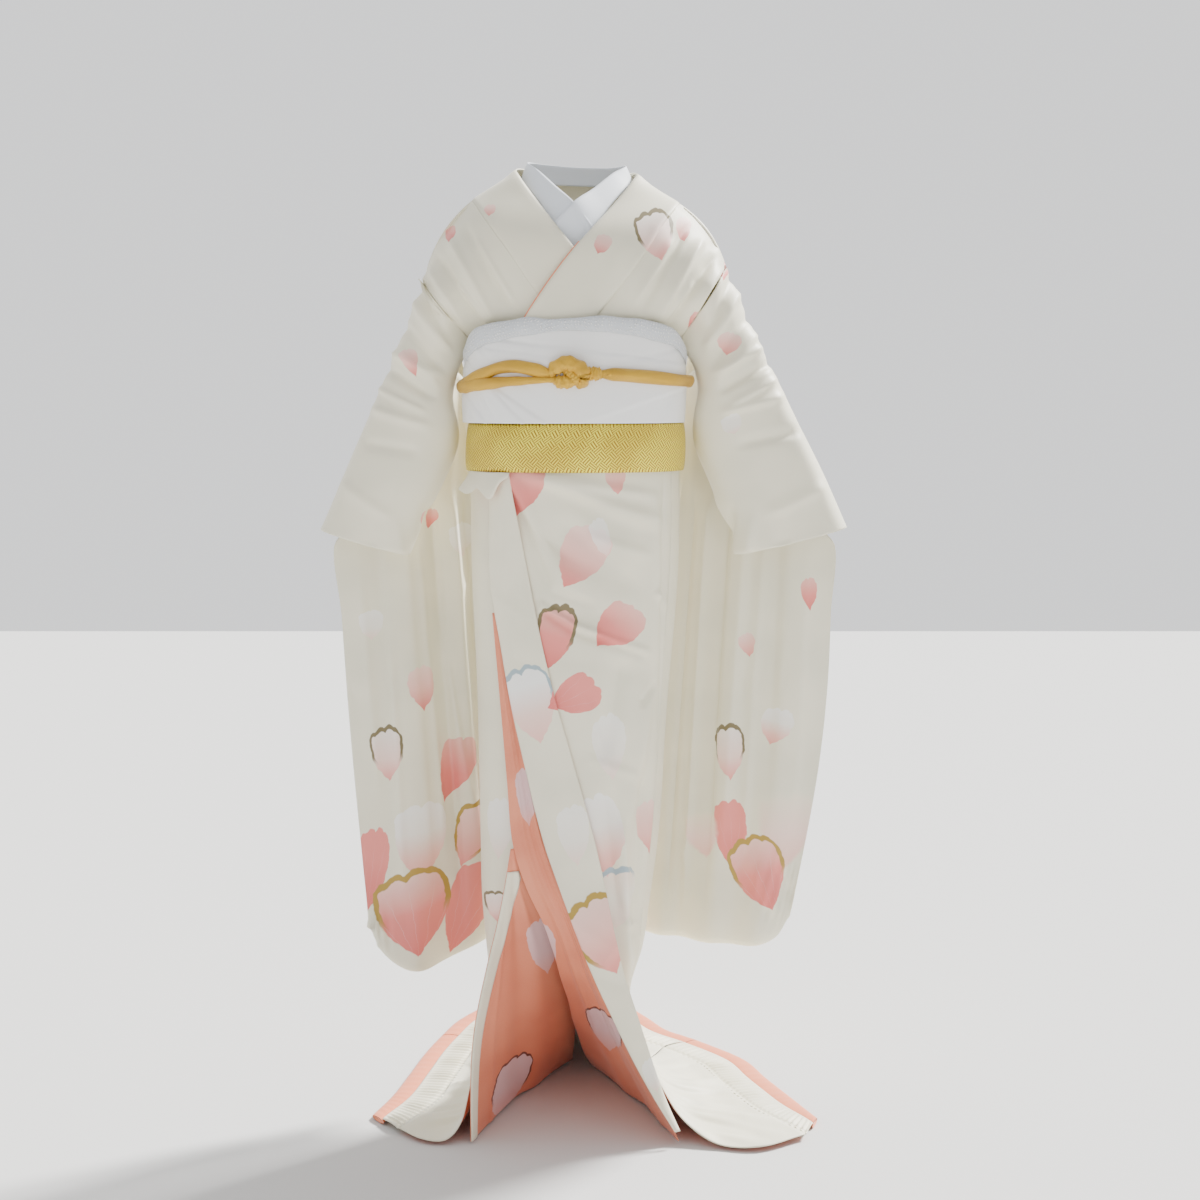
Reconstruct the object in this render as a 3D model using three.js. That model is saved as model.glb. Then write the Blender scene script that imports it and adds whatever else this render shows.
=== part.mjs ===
// A bridal furisode kimono (kakeshita) standing in the shape it has when it is worn:
// crossed collar, long hanging sleeves, sash set, and a hem that trails on the floor.
// Millimetres, +Z up, front towards -Y, +X the wearer's left. Heights in the tables are
// above the floor; the group is lowered so that the origin lies between the shoulders.
import * as THREE from 'three';

const ORIGIN_HEIGHT = 1360;      // from the floor to the shoulders, where the wearer holds it
const CLOTH = 1.8;               // lined silk crepe
const COLLAR_CLOTH = 2.4;        // the collar is folded double
const SEAM = 0.3;                // gap between sewn pieces
const FLOOR_CLEAR = 1;           // the hem's wall stands this far above the floor

const COLOURS = {
  silk: 0xece8da,
  lining: 0xde8269,
  white: 0xf5f5f2,
  underCollar: 0xe6eef6,
  gold: 0xd4b44a,
  cord: 0xc89a3c,
};

// ---------------------------------------------------------------- helpers

const lerp = (a, b, t) => a + (b - a) * t;
const clamp01 = (t) => Math.min(1, Math.max(0, t));
const smooth = (t) => clamp01(t) ** 2 * (3 - 2 * clamp01(t));
const radians = (degrees) => degrees * Math.PI / 180;
const point = (x, y, z) => new THREE.Vector3(x, y, z);
const steps = (count) => Array.from({ length: count + 1 }, (_, i) => i / count);

// Smooth value of one column of a table whose first column runs up or down.
function tableValue(rows, column, at) {
  const key = Object.keys(rows[0])[0];
  const up = rows[rows.length - 1][key] > rows[0][key];
  const ordered = up ? rows : [...rows].reverse();
  const last = ordered.length - 1;
  const held = Math.min(Math.max(at, ordered[0][key]), ordered[last][key]);
  let i = 0;
  while (i < last - 1 && held > ordered[i + 1][key]) i += 1;
  const slope = (k) => {
    const low = ordered[Math.max(k - 1, 0)];
    const high = ordered[Math.min(k + 1, last)];
    return (high[column] - low[column]) / (high[key] - low[key]);
  };
  const [a, b] = [ordered[i], ordered[i + 1]];
  const span = b[key] - a[key];
  const t = (held - a[key]) / span;
  const [t2, t3] = [t * t, t * t * t];
  return (2 * t3 - 3 * t2 + 1) * a[column] + (t3 - 2 * t2 + t) * span * slope(i)
    + (3 * t2 - 2 * t3) * b[column] + (t3 - t2) * span * slope(i + 1);
}

// Smooth curve through a table of x, y, z rows, read at a share of its length.
function curveThrough(rows, closed = false) {
  const points = rows.map((row) => point(row.x, row.y, row.z));
  return new THREE.CatmullRomCurve3(points, closed, 'centripetal');
}

// Closed wall on a grid of points: the grid moved out along its normal by `outer`
// and by `inner`. `loop` joins the last column to the first. `before` and `after` are
// columns of the pieces sewn on at either side, so that both walls share one normal.
function sheetWall(grid, options = {}) {
  const { inner = -CLOTH, outer = 0, loop = false, flip = false, before, after } = options;
  const rows = grid.length;
  const cols = grid[0].length;
  const at = (i, j) => {
    const row = Math.min(Math.max(i, 0), rows - 1);
    if (before && j < 0) return before[row];
    if (after && j >= cols) return after[row];
    const col = loop ? (j + cols) % cols : Math.min(Math.max(j, 0), cols - 1);
    return grid[row][col];
  };
  const normals = grid.map((line, i) => line.map((_, j) => {
    const down = at(i + 1, j).clone().sub(at(i - 1, j));
    const across = at(i, j + 1).clone().sub(at(i, j - 1));
    const normal = down.cross(across).normalize();
    return flip ? normal.negate() : normal;
  }));
  const vertices = [];
  for (const offset of [outer, inner]) {
    grid.forEach((line, i) => line.forEach((p, j) => {
      const moved = p.clone().addScaledVector(normals[i][j], offset);
      vertices.push(moved.x, moved.y, moved.z);
    }));
  }
  const size = rows * cols;
  const id = (side, i, j) => side * size + i * cols + (loop ? j % cols : j);
  const faces = [];
  const quad = (a, b, c, d) => faces.push(a, b, c, a, c, d);
  const lastCol = loop ? cols : cols - 1;
  for (let i = 0; i < rows - 1; i += 1) {
    for (let j = 0; j < lastCol; j += 1) {
      quad(id(0, i, j), id(0, i + 1, j), id(0, i + 1, j + 1), id(0, i, j + 1));
      quad(id(1, i, j), id(1, i, j + 1), id(1, i + 1, j + 1), id(1, i + 1, j));
    }
  }
  for (let j = 0; j < lastCol; j += 1) {
    quad(id(0, 0, j), id(0, 0, j + 1), id(1, 0, j + 1), id(1, 0, j));
    const end = rows - 1;
    quad(id(0, end, j + 1), id(0, end, j), id(1, end, j), id(1, end, j + 1));
  }
  if (!loop) {
    for (let i = 0; i < rows - 1; i += 1) {
      quad(id(0, i + 1, 0), id(0, i, 0), id(1, i, 0), id(1, i + 1, 0));
      const end = cols - 1;
      quad(id(0, i, end), id(0, i + 1, end), id(1, i + 1, end), id(1, i, end));
    }
  }
  const geometry = new THREE.BufferGeometry();
  geometry.setAttribute('position', new THREE.Float32BufferAttribute(vertices, 3));
  const order = flip ? faces.map((_, k) => faces[k - (k % 3) + 2 - (k % 3)]) : faces;
  geometry.setIndex(order);
  return geometry;
}

const kimono = new THREE.Group();
kimono.position.z = -ORIGIN_HEIGHT;

function add(name, geometry, colour, roughness = 0.55, metalness = 0) {
  const material = new THREE.MeshStandardMaterial({ color: colour, roughness, metalness });
  const mesh = new THREE.Mesh(geometry, material);
  mesh.name = name;
  kimono.add(mesh);
}

// ---------------------------------------------------------------- the standing form

// Level sections of the robe from the armpits to the ankles.
const SECTIONS = [
  { height: 1157, left: -147, right: 151, front: -108, back: 102 },
  { height: 1110, left: -145, right: 151, front: -108, back: 102 },
  { height: 1040, left: -146, right: 151, front: -109, back: 104 },
  { height: 976, left: -150, right: 151, front: -110, back: 110 },
  { height: 927, left: -151, right: 152, front: -107, back: 112 },
  { height: 840, left: -151, right: 150, front: -104, back: 112 },
  { height: 760, left: -148, right: 145, front: -101, back: 110 },
  { height: 660, left: -144, right: 138, front: -98, back: 107 },
  { height: 560, left: -142, right: 131, front: -95, back: 104 },
  { height: 430, left: -140, right: 122, front: -93, back: 98 },
  { height: 330, left: -138, right: 108, front: -91, back: 94 },
  { height: 250, left: -131, right: 97, front: -89, back: 91 },
  { height: 196, left: -126, right: 82, front: -87, back: 88 },
];
const SECTION_POWER = 2.2;
const ARMPIT = 1157;
const HIP = 976;
const ANKLE = 196;

function section(height) {
  const [left, right, front, back] = ['left', 'right', 'front', 'back']
    .map((column) => tableValue(SECTIONS, column, height));
  return { cx: (left + right) / 2, a: (right - left) / 2, cy: (front + back) / 2, b: (back - front) / 2 };
}

// Point on the section at an angle from the front, positive towards the wearer's left.
function sectionPoint(height, degrees, offset = 0) {
  const { cx, a, cy, b } = section(height);
  const [s, c] = [Math.sin(radians(degrees)), Math.cos(radians(degrees))];
  const bend = (v) => Math.sign(v) * Math.abs(v) ** (2 / SECTION_POWER);
  return point(cx + (a + offset) * bend(s), cy - (b + offset) * bend(c), height);
}

function angleAtX(height, x) {
  const { cx, a } = section(height);
  const share = Math.min(0.999, Math.abs(x - cx) / a) ** (SECTION_POWER / 2);
  return Math.sign(x - cx) * Math.asin(share) * 180 / Math.PI;
}

// Depth of the skirt's front at a place seen from the front.
function skirtFront(x, height, offset = 0) {
  const { cx, a, cy, b } = section(height);
  const share = Math.min(0.98, Math.abs(x - cx) / (a + offset));
  return cy - (b + offset) * (1 - share ** SECTION_POWER) ** (1 / SECTION_POWER);
}

// Chest and upper back as depths over the front view: the silhouette takes in the
// upper arms, and the depth falls to the shoulder ridge.
const CHEST = [
  { height: 1157, reach: 252, front: 106, back: 102 },
  { height: 1190, reach: 247, front: 108, back: 106 },
  { height: 1240, reach: 234, front: 102, back: 109 },
  { height: 1287, reach: 209, front: 91, back: 108 },
  { height: 1321, reach: 179, front: 73, back: 104 },
  { height: 1345, reach: 160, front: 55, back: 100 },
  { height: 1364, reach: 146, front: 42, back: 96 },
];
const CHEST_POWER = 2.4;

function chestDepth(x, height, side) {
  const reach = tableValue(CHEST, 'reach', height);
  const depth = tableValue(CHEST, side, height);
  const share = Math.min(1, Math.abs(x) / reach);
  return depth * (1 - share ** CHEST_POWER) ** (1 / CHEST_POWER);
}

// ---------------------------------------------------------------- collar line

// Stations from the wearer's right end, round the neck, to the wearer's left end:
// the neck edge (ix, iy, iz) and the seam edge (ox, oy, oz).
const COLLAR = [
  { ix: 78, iy: -92, iz: 1177, ox: -16, oy: -106, oz: 1177 },
  { ix: 37, iy: -95, iz: 1241, ox: -60, oy: -100, oz: 1236 },
  { ix: 2, iy: -92, iz: 1288, ox: -94, oy: -86, oz: 1286 },
  { ix: -22, iy: -76, iz: 1318, ox: -119, oy: -64, oz: 1320 },
  { ix: -55, iy: -34, iz: 1362, ox: -139, oy: -28, oz: 1350 },
  { ix: -79, iy: 8, iz: 1397, ox: -147, oy: 10, oz: 1363 },
  { ix: -84, iy: 42, iz: 1411, ox: -128, oy: 58, oz: 1358 },
  { ix: -56, iy: 74, iz: 1411, ox: -78, oy: 90, oz: 1352 },
  { ix: 2, iy: 88, iz: 1407, ox: 1, oy: 104, oz: 1349 },
  { ix: 62, iy: 73, iz: 1406, ox: 80, oy: 90, oz: 1350 },
  { ix: 90, iy: 42, iz: 1405, ox: 130, oy: 58, oz: 1354 },
  { ix: 84, iy: 8, iz: 1391, ox: 151, oy: 10, oz: 1358 },
  { ix: 57, iy: -34, iz: 1354, ox: 142, oy: -32, oz: 1346 },
  { ix: 23, iy: -77, iz: 1314, ox: 121, oy: -66, oz: 1318 },
  { ix: -1, iy: -92, iz: 1286, ox: 101, oy: -86, oz: 1286 },
  { ix: -30, iy: -100, iz: 1248, ox: 66, oy: -100, oz: 1237 },
  { ix: -60, iy: -106, iz: 1204, ox: 35, oy: -106, oz: 1199 },
  { ix: -76, iy: -107, iz: 1177, ox: 20, oy: -107, oz: 1177 },
];

const neckLine = curveThrough(COLLAR.map((row) => ({ x: row.ix, y: row.iy, z: row.iz })));
const seamLine = curveThrough(COLLAR.map((row) => ({ x: row.ox, y: row.oy, z: row.oz })));

// Share of the collar's length at which its seam passes a station of the table.
const atStation = (index) => index / (COLLAR.length - 1);

// ---------------------------------------------------------------- body panels

// Each side has its own shoulder: where the collar seam (by its place in the collar's
// table) and the sleeve seam cross the ridge, and where the sleeve seam ends below.
const SHOULDERS = {
  right: { sign: -1, ridge: 4.75, obi: 0, nape: 8, sleeveTop: { x: -218, z: 1243 }, bulge: 13 },
  left: { sign: 1, ridge: 11.25, obi: 17, nape: 8, sleeveTop: { x: 218, z: 1266 }, bulge: 11 },
};

// The side seams lie a little to the front of the silhouette, the fronts' inner edges
// sweep across under the overlap.
const LEFT_SEAM = [
  { height: 1157, angle: 80 },
  { height: 1040, angle: 78 },
  { height: 976, angle: 66 },
  { height: 560, angle: 66 },
  { height: 330, angle: 66 },
  { height: 196, angle: 74 },
];
const RIGHT_SEAM_ANGLE = -84;

const LEFT_INNER_EDGE = [
  { height: 1157, x: 22 },
  { height: 1040, x: -40 },
  { height: 976, x: -104 },
  { height: 932, x: -108 },
  { height: 859, x: -92 },
  { height: 785, x: -82 },
  { height: 675, x: -58 },
  { height: 560, x: -32 },
  { height: 400, x: 8 },
  { height: 260, x: 52 },
  { height: 196, x: 66 },
];
const RIGHT_INNER_EDGE = [
  { height: 1157, x: -20 },
  { height: 1040, x: 10 },
  { height: 976, x: 40 },
  { height: 800, x: 0 },
  { height: 600, x: -45 },
  { height: 400, x: -88 },
  { height: 260, x: -112 },
  { height: 196, x: -120 },
];

// Depth that each layer of the wrapped skirt stands out from the section.
const LAYER = { left: 8, band: 12.5 };

// The hem line on the floor, from each front corner round to the centre back.
const HEM_RIGHT = [
  { x: -305, y: -36 },
  { x: -283, y: 50 },
  { x: -266, y: 150 },
  { x: -250, y: 250 },
  { x: -230, y: 340 },
  { x: -206, y: 425 },
  { x: -160, y: 505 },
  { x: -90, y: 550 },
  { x: 0, y: 565 },
];
const HEM_LEFT = [
  { x: 362, y: -49 },
  { x: 331, y: 41 },
  { x: 301, y: 126 },
  { x: 272, y: 215 },
  { x: 201, y: 313 },
  { x: 150, y: 370 },
  { x: 118, y: 440 },
  { x: 72, y: 520 },
  { x: 0, y: 565 },
];
const SEAM_SHARE = 0.0016;
const SIDE_SEAM_SHARE = 0.5;     // the side seam meets the hem half way along each side
const ROLL_WIDTH = 36;           // padded coral hem that shows beyond the outer cloth
const GATHER_WIDTH = 42;         // puckered casing between the stitch line and the roll
const HEM_HEIGHT = 9;            // the outer cloth at the stitch line, above the floor

// At the front corners the hem is cut off along the free edge.
const CORNER_CUT = { right: point(0.576, -0.817, 0), left: point(-0.3, -0.954, 0) };

function hemPoint(side, share, inward, height) {
  const rows = (side === 'left' ? HEM_LEFT : HEM_RIGHT).map((row) => ({ ...row, z: 0 }));
  const curve = curveThrough(rows);
  const place = curve.getPoint(share);
  const along = curve.getTangent(share);
  const across = point(-along.y, along.x, 0).multiplyScalar(side === 'left' ? 1 : -1);
  across.lerp(point(0, -1, 0), smooth((share - 0.85) / 0.15)).normalize();
  across.lerp(CORNER_CUT[side], 1 - smooth(share / 0.16)).normalize();
  return place.addScaledVector(across, inward).setZ(height);
}

// The free front edges from the ankle to the stitch line at the front corners.
const FREE_EDGE_RIGHT = [
  { x: -124, y: -72, z: 196 },
  { x: -143, y: -90, z: 120 },
  { x: -157, y: -112, z: 55 },
  { x: -174, y: -142, z: 12 },
  { x: -214, y: -142, z: 7 },
  { x: -260, y: -99, z: 9 },
];
const FREE_EDGE_LEFT = [
  { x: 66, y: -94, z: 196 },
  { x: 102, y: -104, z: 122 },
  { x: 136, y: -114, z: 58 },
  { x: 184, y: -148, z: 12 },
  { x: 256, y: -172, z: 7 },
  { x: 338, y: -124, z: 9 },
];

const TRAIN_ROWS = 6;

// From the ankle down and out over the floor to the stitch line.
function sweepPoint(side, foot, hemShare, t) {
  const hem = hemPoint(side, hemShare, ROLL_WIDTH + GATHER_WIDTH, HEM_HEIGHT);
  const drop = point(foot.x, foot.y, foot.z - 140);
  const sweep = point(lerp(hem.x, foot.x, 0.42), lerp(hem.y, foot.y, 0.42), 26);
  return new THREE.CubicBezierCurve3(foot, drop, sweep, hem).getPoint(t);
}

// Soft creases of the outer skirt front: troughs that run from the hip at the wearer's
// right towards the opposite knee, and a short level crumple at mid thigh.
const FRONT_CREASES = [
  { x: -60, height: 900, lean: -0.9, depth: 3.2, half: 14, run: 120 },
  { x: 0, height: 850, lean: -0.55, depth: 3.6, half: 16, run: 150 },
  { x: 60, height: 905, lean: -0.35, depth: 2.6, half: 13, run: 120 },
  { x: 8, height: 770, lean: -0.08, depth: 4.4, half: 15, run: 70 },
  { x: 70, height: 690, lean: -0.2, depth: 2.6, half: 14, run: 90 },
  { x: 88, height: 520, lean: -1.9, depth: 3.4, half: 16, run: 160 },
  { x: 60, height: 350, lean: -2.6, depth: 4.2, half: 14, run: 140 },
];

function creaseDepth(x, height) {
  return FRONT_CREASES.reduce((sum, crease) => {
    const length = Math.hypot(1, crease.lean);
    const [dx, dz] = [x - crease.x, height - crease.height];
    const along = (dx + crease.lean * dz) / length;
    const across = (dz - crease.lean * dx) / length;
    return sum + crease.depth * Math.exp(-((across / crease.half) ** 2) - (along / crease.run) ** 2);
  }, 0);
}

// Standing part of a front panel, a point for each share of its width.
function frontPoint(side, share, height) {
  const left = side === 'left';
  const inner = angleAtX(height, tableValue(left ? LEFT_INNER_EDGE : RIGHT_INNER_EDGE, 'x', height));
  const seam = left ? tableValue(LEFT_SEAM, 'angle', height) : RIGHT_SEAM_ANGLE;
  const layer = left ? LAYER.left * smooth((1 - share) * 1.6) : 0;
  const place = sectionPoint(height, lerp(inner, seam - Math.sign(seam) * 0.1, share), layer);
  if (left && height < HIP) place.y += creaseDepth(place.x, height) * smooth((1 - share) * 4);
  return place;
}

// How far the chest layers stand out: the wearer's left front crosses on top.
const chestLayer = (side, x) => (side === 'left' ? 6 * smooth((150 - x) / 70) : 0);

// The bodice widens from the sash to the chest over this part of its rise.
const FLARE = 1.35;

// The sleeve seam from the armpit (rise 0) over the ridge (rise 1), in front or behind.
function armholePoint(side, face, rise) {
  const { sleeveTop } = SHOULDERS[side];
  const foot = face === 'front' ? frontPoint(side, 1, ARMPIT) : backPoint(side, 1, ARMPIT);
  const x = lerp(foot.x, sleeveTop.x, rise);
  const z = lerp(foot.z, sleeveTop.z, rise);
  const depth = chestDepth(x, z, face) * (1 - rise ** 5) ** 0.5;
  const y = (face === 'front' ? -1 : 1) * depth;
  return point(x, lerp(foot.y, y, smooth(rise * FLARE)), z);
}

// Rows of a bodice panel from the shoulder ridge down to the armpits. Each starts at a
// place on the collar seam or the centre back and ends on the sleeve seam.
const FRONT_RISES = [1, 0.97, 0.9, 0.79, 0.65, 0.48, 0.3, 0.14, 0];
const BACK_RISES = [1, 0.98, 0.93, 0.86, 0.74, 0.58, 0.4, 0.2, 0];
const BACK_COLLAR_ROWS = 3;

function bodiceInner(side, face, index) {
  const { ridge, obi, nape, sign } = SHOULDERS[side];
  if (face === 'front') {
    const rise = FRONT_RISES[index];
    const low = frontPoint(side, 0, ARMPIT);
    const seam = seamLine.getPoint(atStation(lerp(obi, ridge, clamp01((rise - 0.14) / 0.86))));
    return rise > 0.14 ? seam : low.lerp(seam, rise / 0.14);
  }
  if (index <= BACK_COLLAR_ROWS) {
    return seamLine.getPoint(atStation(lerp(ridge, nape, index / BACK_COLLAR_ROWS)));
  }
  const top = seamLine.getPoint(atStation(nape));
  const down = (index - BACK_COLLAR_ROWS) / (BACK_RISES.length - 1 - BACK_COLLAR_ROWS);
  const height = lerp(top.z, ARMPIT, down);
  const depth = lerp(chestDepth(0, height, 'back'), backPoint(side, 0, ARMPIT).y, smooth(down * 2 - 1));
  return point(sign * SEAM / 2, lerp(top.y, depth, smooth(down * 3)), height);
}

function bodicePoint(side, face, index, share) {
  const rise = (face === 'front' ? FRONT_RISES : BACK_RISES)[index];
  const inner = bodiceInner(side, face, index);
  const outer = armholePoint(side, face, rise);
  if (rise === 0) return face === 'front' ? frontPoint(side, share, ARMPIT) : backPoint(side, share, ARMPIT);
  const { sign, bulge } = SHOULDERS[side];
  const swell = bulge * 4 * share * (1 - share) * rise ** 4;
  const x = lerp(inner.x, outer.x, share) + sign * swell * 0.86;
  const z = lerp(inner.z, outer.z, share) + swell * 0.51;
  const front = face === 'front';
  const layer = front ? chestLayer(side, x) : 0;
  const facing = front ? -1 : 1;
  const foot = front ? frontPoint(side, share, ARMPIT) : backPoint(side, share, ARMPIT);
  const full = facing * (chestDepth(x, z, face) * (1 - rise ** 5) ** 0.5 + layer);
  const y = lerp(foot.y, full, smooth(rise * FLARE));
  const innerFull = lerp(frontOrBackFoot(side, face).y, facing * chestDepth(inner.x, inner.z, face)
    * (1 - rise ** 5) ** 0.5, smooth(rise * FLARE));
  const correction = (inner.y - innerFull) * (1 - share) ** 2.5;
  return point(x, y + correction * smooth(rise * 4), z);
}

const frontOrBackFoot = (side, face) => (
  face === 'front' ? frontPoint(side, 0, ARMPIT) : backPoint(side, 0, ARMPIT));

function bodiceRows(side, face, shares) {
  const rises = face === 'front' ? FRONT_RISES : BACK_RISES;
  const rows = rises.map((_, i) => shares.map((share) => bodicePoint(side, face, i, share)));
  rows[0].forEach((p) => p.setY(face === 'front' ? -SEAM / 2 : SEAM / 2));
  return rows;
}

const HEIGHTS = {
  left: [1100, 1040, HIP, 930, 890, 850, 810, 770, 730, 680, 620, 560, 500, 440, 380, 320, 260, ANKLE],
  right: [1100, 1040, HIP, 900, 820, 740, 660, 580, 500, 420, 340, 260, ANKLE],
};

function frontTrainPoint(side, share, t) {
  const hemShare = share * (SIDE_SEAM_SHARE - SEAM_SHARE);
  const place = sweepPoint(side, frontPoint(side, share, ANKLE), hemShare, t);
  const edge = curveThrough(side === 'left' ? FREE_EDGE_LEFT : FREE_EDGE_RIGHT).getPoint(t);
  const bare = sweepPoint(side, frontPoint(side, 0, ANKLE), 0, t);
  return place.add(edge.sub(bare).multiplyScalar((1 - share) ** 2));
}

function frontRows(side, shares) {
  const chest = bodiceRows(side, 'front', shares);
  const standing = HEIGHTS[side].map((height) => shares.map((s) => frontPoint(side, s, height)));
  const train = steps(TRAIN_ROWS).slice(1).map((t) => shares.map((s) => frontTrainPoint(side, s, t)));
  return [...chest, ...standing, ...train];
}

function backPoint(side, share, height) {
  const left = side === 'left';
  const seam = left ? tableValue(LEFT_SEAM, 'angle', height) : RIGHT_SEAM_ANGLE;
  const centre = left ? 179.9 : -179.9;
  return sectionPoint(height, lerp(centre, seam + Math.sign(seam) * 0.1, share));
}

function backRows(side, shares) {
  const upper = bodiceRows(side, 'back', shares);
  const standing = HEIGHTS[side].map((height) => shares.map((s) => backPoint(side, s, height)));
  const feet = shares.map((s) => backPoint(side, s, ANKLE));
  const centreGap = SHOULDERS[side].sign * SEAM / 2;
  const train = steps(TRAIN_ROWS).slice(1).map((t) => shares.map((s, k) => {
    const place = sweepPoint(side, feet[k], lerp(1, SIDE_SEAM_SHARE + SEAM_SHARE, s), t);
    return s === 0 ? place.setX(place.x + centreGap) : place;
  }));
  return [...upper, ...standing, ...train];
}

// Each panel is made with the neighbouring columns of the pieces sewn to it.
const BESIDE = 0.04;
const column = (rows) => rows.map((line) => line[0]);

// Beside the armhole the panel runs straight on instead.
function besideSleeve(neighbours, rows) {
  return neighbours.map((p, i) => (
    i < FRONT_RISES.length - 1 ? rows[i][1].clone().multiplyScalar(2).sub(rows[i][0]) : p));
}

const PANEL_COLUMNS = { front_left: 12, front_right: 8, back_left: 8, back_right: 8 };

function frontPanel(side, flip) {
  const columns = PANEL_COLUMNS[`front_${side}`];
  const after = besideSleeve(column(backRows(side, [1 - BESIDE])), frontRows(side, [1 - BESIDE, 1]));
  add(`front_${side}`, sheetWall(frontRows(side, steps(columns)), { flip, after }), COLOURS.silk);
}

function backPanel(side, flip) {
  const columns = PANEL_COLUMNS[`back_${side}`];
  const after = besideSleeve(column(frontRows(side, [1 - BESIDE])), backRows(side, [1 - BESIDE, 1]));
  const rows = backRows(side, steps(columns));
  const before = backRows(side, [BESIDE]).map(([p], i) => {
    const centre = rows[i][0];
    return point(2 * centre.x - p.x, p.y, p.z);
  });
  add(`back_${side}`, sheetWall(rows, { flip, before, after }), COLOURS.silk);
}

frontPanel('left', true);
frontPanel('right', false);
backPanel('left', false);
backPanel('right', true);

// ---------------------------------------------------------------- overlap and linings

// The outer front's edge strip (okumi) lies over the main panel: its free edge and the
// soft fold at its other side, as seen from the front, down to the corner on the floor.
const BAND = [
  { height: 972, free: -122, freeDepth: -112, fold: -92, foldDepth: -110 },
  { height: 925, free: -122, freeDepth: -112, fold: -84, foldDepth: -110 },
  { height: 832, free: -123, freeDepth: -112, fold: -66, foldDepth: -110 },
  { height: 733, free: -108, freeDepth: -112, fold: -47, foldDepth: -110 },
  { height: 640, free: -92, freeDepth: -112, fold: -25, foldDepth: -110 },
  { height: 540, free: -70, freeDepth: -112, fold: 3, foldDepth: -110 },
  { height: 429, free: -42, freeDepth: -112, fold: 32, foldDepth: -110 },
  { height: 326, free: -5, freeDepth: -116, fold: 54, foldDepth: -112 },
  { height: 250, free: 24, freeDepth: -120, fold: 71, foldDepth: -114 },
  { height: 185, free: 54, freeDepth: -124, fold: 92, foldDepth: -119 },
  { height: 123, free: 84, freeDepth: -129, fold: 112, foldDepth: -124 },
  { height: 63, free: 118, freeDepth: -138, fold: 134, foldDepth: -131 },
  { height: 22, free: 145, freeDepth: -148, fold: 153, foldDepth: -144 },
];
const BAND_LAST_STANDING = 429;

// Depth of a strip that follows the skirt at the top and its own table lower down.
function stripDepth(rows, edge, x, height, offset) {
  const own = tableValue(rows, `${edge}Depth`, height);
  const standing = skirtFront(x, Math.max(height, ANKLE), offset);
  const turn = smooth((BAND_LAST_STANDING - height) / 110);
  return lerp(standing, own, turn);
}

function bandRows(columns) {
  const heights = [972, 930, 885, 832, 780, 733, 680, 630, 580, 530, 480, 429, 375, 326, 285, 250, 217, 185,
    154, 123, 92, 63, 40, 22];
  return heights.map((height) => {
    const free = tableValue(BAND, 'free', height);
    const fold = tableValue(BAND, 'fold', height);
    const ends = [
      point(free, stripDepth(BAND, 'free', free, height, LAYER.band), height),
      point(fold, stripDepth(BAND, 'fold', fold, height, LAYER.band), height),
    ];
    return steps(columns).map((t) => {
      const place = ends[0].clone().lerp(ends[1], t);
      const onSkirt = skirtFront(place.x, Math.max(height, ANKLE), LAYER.band);
      const standing = 1 - smooth((BAND_LAST_STANDING - height) / 110);
      place.y = lerp(place.y, onSkirt, standing) - 2.2 * Math.sin(Math.PI * t);
      return place;
    });
  });
}

add('okumi_left', sheetWall(bandRows(5), { flip: true, outer: CLOTH, inner: 0 }), COLOURS.silk);

// A sheet between an outer and an inner edge, each a table of places down its length.
function ruledRows(outerEdge, innerEdge, rows, columns, bow) {
  const [a, b] = [curveThrough(outerEdge), curveThrough(innerEdge)];
  return steps(rows).map((t) => {
    const [p, q] = [a.getPoint(t), b.getPoint(t)];
    const side = point(q.y - p.y, p.x - q.x, 0).normalize();
    return steps(columns).map((u) => (
      p.clone().lerp(q, u).addScaledVector(side, bow * t * Math.sin(Math.PI * u))));
  });
}

// Lining of the wearer's left front, which shows past the free edge of its edge strip:
// it starts just behind that edge and runs back to the middle of the opening.
const LINING_TUCK = 6;
const LINING_BEHIND = 6.4;
const LINING_LEFT_OUTER = [770, 673, 557, 429, 326, 250, 185, 123, 63, 6].map((height) => {
  const x = tableValue(BAND, 'free', height) + LINING_TUCK;
  return { x, y: stripDepth(BAND, 'free', x, height, LAYER.band) + LINING_BEHIND, z: height };
});
const LINING_LEFT_INNER = [
  { x: -118, y: -80, z: 770 },
  { x: -110, y: -84, z: 673 },
  { x: -100, y: -89, z: 557 },
  { x: -85, y: -97, z: 411 },
  { x: -44, y: -80, z: 308 },
  { x: -23, y: -30, z: 225 },
  { x: -10, y: 40, z: 155 },
  { x: 1, y: 110, z: 87 },
  { x: 15, y: 165, z: 32 },
  { x: 24, y: 203, z: 4 },
];
const liningLeftRows = ruledRows(LINING_LEFT_OUTER, LINING_LEFT_INNER, 16, 5, 9);
add('lining_left', sheetWall(liningLeftRows, { inner: -1.5 }), COLOURS.lining);

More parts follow.
